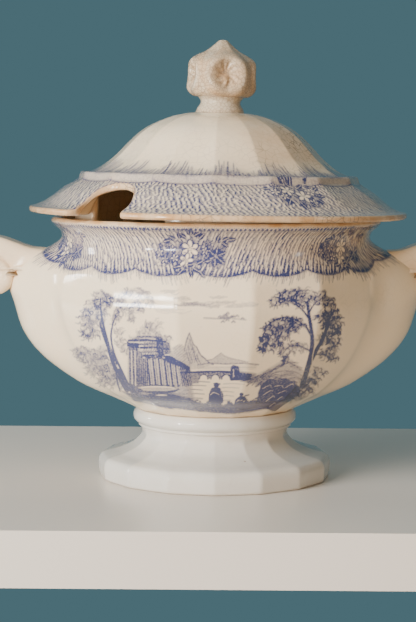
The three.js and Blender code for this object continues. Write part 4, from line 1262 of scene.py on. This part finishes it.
def lid_rows(turn):
    """Rows of (x, y, height) in the notch's frame, over the top, down the edge and in underneath."""
    outline, starts = lid_edge()
    tangent = np.roll(outline, -1, 0) - np.roll(outline, 1, 0)
    tangent /= np.linalg.norm(tangent, axis=1)[:, None]
    outward = np.stack([tangent[:, 1], -tangent[:, 0]], -1) * LID_EDGE_RADIUS
    inset = outline - outward
    dome_edge = DOME_R * np.stack([np.cos(starts), np.sin(starts)], -1)

    def brim(share):
        return dome_edge + (inset - dome_edge) * share

    plans = [dome_edge * (r / DOME_R) for r in np.arange(LID_HOLE_R, DOME_R, DOME_ROW)]
    plans += [brim(share) for share in np.linspace(0, 1, BRIM_ROWS)]
    rows = []
    for plan in plans:
        angle = np.arctan2(plan[:, 1], plan[:, 0]) + turn
        rows.append(np.column_stack([plan, lid_top_z(np.linalg.norm(plan, axis=1), angle)]))
    top, bottom = rows[-1][:, 2], lid_under(inset, turn)
    corner = np.minimum(LID_EDGE_RADIUS, (top - bottom) / 2)
    for a in np.linspace(0, np.pi / 2, 7)[1:]:
        rows.append(np.column_stack([inset + outward * math.sin(a), top - corner * (1 - math.cos(a))]))
    for share in (0.2, 0.4, 0.6, 0.8):
        rows.append(np.column_stack([outline, top - corner + share * (bottom + corner - top + corner)]))
    for a in np.linspace(np.pi / 2, 0, 6):
        rows.append(np.column_stack([inset + outward * math.sin(a), bottom + corner * (1 - math.cos(a))]))
    for share in np.linspace(1, 0, BRIM_UNDER_ROWS)[1:]:
        rows.append(np.column_stack([brim(share), lid_under(brim(share), turn)]))
    for r in np.arange(DOME_R - DOME_UNDER_ROW, LID_HOLE_R, -DOME_UNDER_ROW):
        rows.append(np.column_stack([dome_edge * (r / DOME_R), lid_under_z(np.full(len(starts), r))]))
    return np.array(rows), len(plans)


def lid_stain(radius, angle, upper, wall):
    """Stains on the edge, in the notch, on one side of the dome, along the ring and round the stem."""
    edge = smoothstep(radius, 112, 117)
    dome = smoothstep(angle, -0.1, 0.6) * (1 - smoothstep(angle, 1.7, 2.6)) * (1 - smoothstep(radius, 60, 90))
    parts = (0.95 * wall * edge, 0.8 * wall * (1 - edge), 0.46 * dome, 0.22 * (~upper & ~wall),
             0.25 * bump(radius, 90, 1.6) * upper, 0.35 * bump(radius, 15, 4) * upper)
    return np.max(np.broadcast_arrays(*parts), axis=0)


def make_lid():
    turn = math.radians(NOTCH_ANGLE)
    rows, top_rows = lid_rows(turn)
    radius = np.hypot(rows[..., 0], rows[..., 1])
    angle = (np.arctan2(rows[..., 1], rows[..., 0]) + turn + np.pi) % TAU - np.pi
    row = np.arange(len(rows))[:, None]
    upper = row < top_rows + 3
    wall = np.abs(row - (top_rows + 7)) < 6.5
    floats = {
        "print": np.where(upper, lid_border().at(angle * BORDER_R, radius), 0),
        "stain": lid_stain(radius, angle, upper, wall),
    }
    material = glazed("printed_glaze_lid", printed=True, craze=0.22, stain=1.0, crack=0.075)
    lid = grid_piece("lid", place(radius, angle, rows[..., 2]), material, floats, matrix=lid_matrix())
    fit(lid, "lid", "lid_shell")


def make_flange():
    gate = math.radians(FLANGE_GATE)
    turn = math.radians(NOTCH_ANGLE)
    inner = FLANGE_R - FLANGE_WALL
    low = FLANGE_BOTTOM_Z
    section = [(inner + 0.8, low), (FLANGE_R - 0.9, low), (FLANGE_R - 0.2, low + 0.5), (FLANGE_R, 157.6),
               (FLANGE_R, 166), (FLANGE_R, 179.6), (inner, 183.8), (inner, 166), (inner, 157.4),
               (inner + 0.2, low + 0.4)]
    loop = np.array(section + section[:1], float)
    length = np.concatenate([[0], np.cumsum(np.linalg.norm(np.diff(loop, axis=0), axis=1))])
    at = np.linspace(0, length[-1], 61)[:-1]
    ring = np.stack([np.interp(at, length, loop[:, 0]), np.interp(at, length, loop[:, 1])], -1)
    angle = turn + np.linspace(gate, TAU - gate, 300)
    points = place(ring[None, :, 0], angle[:, None], ring[None, :, 1])
    stain = 0.30 + 0.3 * bump(points[..., 2], FLANGE_BOTTOM_Z, 2)
    material = glazed("plain_glaze_flange", craze=0.2, stain=0.4)
    flange = grid_piece("flange", points, material, {"stain": stain}, matrix=lid_matrix())
    fit(flange, "lid", "lid_flange")


# ---------------------------------------------------------------- finial

def make_stem(material):
    angle = full_turn(128)
    outline = np.vstack([STEM_BASE, curve(STEM_OUTLINE, spaced(STEM_OUTLINE, 0.6)), STEM_TOP])
    points = place(outline[:, :1], angle[None, :], outline[:, 1:])
    z = points[..., 2]
    stain = 0.12 + 0.16 * bump(z, 240.6, 1.4) + 0.16 * bump(z, 231.6, 1.2)
    floats = {"stain": np.clip(stain, 0, 1)}
    stem = grid_piece("finial_neck", points, material, floats, matrix=finial_matrix())
    fit(stem, "lid", "finial_stem")


def make_bud(material):
    """A four-sided bud: each face has a round hollow with a raised curl round it and fine ribs inside."""
    angle = full_turn(320)
    outline = curve(BUD_OUTLINE, spaced(BUD_OUTLINE, 0.42))
    radius, z = outline[:, :1], outline[:, 1:]
    face = TAU / 4
    across = angle - face * np.round(angle / face)
    swell = 1 - 0.05 * np.cos(across * 4)[None, :] ** 2
    sideways = across[None, :] * 20 / 10.4
    rise = (z - 254.6) / 10.2
    reach = np.hypot(sideways, rise)
    around = np.arctan2(rise, sideways)
    side_fade = 1 - smoothstep(np.abs(across), 0.66, 0.785)[None, :]
    hollow = 5.8 * np.exp(-((reach / 0.84) ** 2.8))
    open_side = 0.55 + 0.45 * np.cos(around - 2.4)
    curl = 1.5 * open_side * bump(reach, 1.06, 0.26) * side_fade
    ribs = 0.34 * np.cos(9 * around + 5 * reach) * bump(reach, 0.6, 0.26)
    tongue = 2.2 * np.exp(-((np.hypot(sideways + 0.12, rise + 0.34) / 0.26) ** 2))
    crown = 0.5 * smoothstep(z, 262, 266) * (1 - smoothstep(z, 268, 273)) * np.cos(across * 4)[None, :]
    full = radius * swell - hollow * side_fade + curl + ribs + tongue + crown
    full = np.maximum(full, np.minimum(radius, 2.4))
    points = place(full, (angle + math.radians(BUD_TURN))[None, :], np.broadcast_to(z, full.shape))
    stain = 0.34 + 0.5 * bump(reach, 0, 0.80) + 0.24 * bump(reach, 1.45, 0.2)
    stain = stain + 0.06 * bump(z, 242, 2) + 0.08 * smoothstep(z, 268, 276)
    floats = {"stain": np.clip(stain, 0, 1)}
    bud = grid_piece("finial_bud_carved", points, material, floats, matrix=finial_matrix())
    fit(bud, "lid", "finial_bud")


def make_finial():
    material = glazed("crazed_glaze_finial", craze=0.85, stain=0.15, craze_scale=430.0, crack=0.13,
                      spread=0.6, roughness=(0.14, 0.3), paper=PAPER_WORN)
    make_stem(material)
    make_bud(material)


# ---------------------------------------------------------------- studio

def plain(name, colour, roughness):
    n = Nodes(name)
    n.shader.inputs["Base Color"].default_value = (*colour, 1)
    n.shader.inputs["Roughness"].default_value = roughness
    return n.material


SHELF_HALF = 1400
SHELF_FRONT = -171
SHELF_BACK = 186
SHELF_DEPTH = 32


def make_floor():
    """A plain pale shelf, a little deeper than the tureen."""
    left, right = -SHELF_HALF, SHELF_HALF
    corners = [(left, SHELF_FRONT), (right, SHELF_FRONT), (right, SHELF_BACK), (left, SHELF_BACK)]
    points = [(x * MM, y * MM, z * MM) for z in (0, -SHELF_DEPTH) for x, y in corners]
    faces = [(0, 1, 2, 3), (7, 6, 5, 4), (0, 4, 5, 1), (1, 5, 6, 2), (2, 6, 7, 3), (3, 7, 4, 0)]
    mesh = bpy.data.meshes.new("shelf")
    mesh.from_pydata(points, [], faces)
    mesh.materials.append(plain("shelf_white", (0.74, 0.665, 0.575), 0.28))
    shelf = bpy.data.objects.new("shelf", mesh)
    bpy.context.scene.collection.objects.link(shelf)


LIGHTS = [  # name, place and size in metres, watts, colour
    ("window", (-1.1, -1.1, 0.5), (0.9, 1.3), 69, (0.99, 0.985, 0.975)),
    ("fill", (0.3, -1.8, 0.2), (1.4, 0.8), 16, (1, 0.59, 0.27)),
    ("back", (0.2, 1.2, 1.5), (1.8, 0.8), 7, (0.95, 0.98, 1)),
]
PANES = [  # small lights that show only as gleams on the glaze
    ("pane_0", (-0.78, -1.25, 0.10), (0.16, 0.14), 3.0),
    ("pane_1", (-1.15, -1.0, 0.10), (0.10, 0.14), 3.0),
    ("pane_2", (-1.45, 0.35, 0.34), (0.14, 0.3), 3.0),
    ("pane_3", (1.4, -0.75, 0.5), (0.10, 0.3), 0.8),
]
PANE_COLOUR = (1, 0.99, 0.97)
AIM = (0, 0, 0.13)
SURROUND = (0.072, 0.150, 0.178, 1)


def make_light(name, place_m, size, power, colour, gleam):
    """A rectangular light that faces the tureen, seen either in the glaze alone or in all but the glaze."""
    data = bpy.data.lights.new(name, "AREA")
    data.shape = "RECTANGLE"
    data.size, data.size_y = size
    data.energy = power
    data.color = colour
    light = bpy.data.objects.new(name, data)
    turn = (Vector(place_m) - Vector(AIM)).to_track_quat("Z", "Y").to_matrix().to_4x4()
    light.matrix_world = Matrix.Translation(place_m) @ turn
    light.visible_camera = False
    light.visible_diffuse = not gleam
    light.visible_glossy = gleam
    bpy.context.scene.collection.objects.link(light)


def make_lights():
    for light in LIGHTS:
        make_light(*light, gleam=False)
    for pane in PANES:
        make_light(*pane, PANE_COLOUR, gleam=True)
    world = bpy.data.worlds.new("studio")
    world.use_nodes = True
    background = world.node_tree.nodes["Background"]
    background.inputs["Color"].default_value = SURROUND
    background.inputs["Strength"].default_value = 1.0
    bpy.context.scene.world = world


CAMERA_PLACE = (0, -1.082, 0.205)  # metres
CAMERA_LENS = 98.4
CAMERA_DOWN = 5.27  # degrees
CAMERA_HEADING = 0.254
CAMERA_ROLL = 0.4


def make_camera():
    data = bpy.data.cameras.new("camera")
    data.sensor_width = 36
    data.lens = CAMERA_LENS
    data.clip_start, data.clip_end = 0.01, 100
    camera = bpy.data.objects.new("camera", data)
    heading = Matrix.Rotation(math.radians(CAMERA_HEADING), 4, "Z")
    tilt = Matrix.Rotation(math.radians(90 - CAMERA_DOWN), 4, "X")
    roll = Matrix.Rotation(math.radians(CAMERA_ROLL), 4, "Z")
    camera.matrix_world = Matrix.Translation(CAMERA_PLACE) @ heading @ tilt @ roll
    bpy.context.scene.collection.objects.link(camera)
    bpy.context.scene.camera = camera


make_bowl()
make_foot()
make_collar()
make_handles()
make_lid()
make_flange()
make_finial()
make_floor()
make_lights()
make_camera()
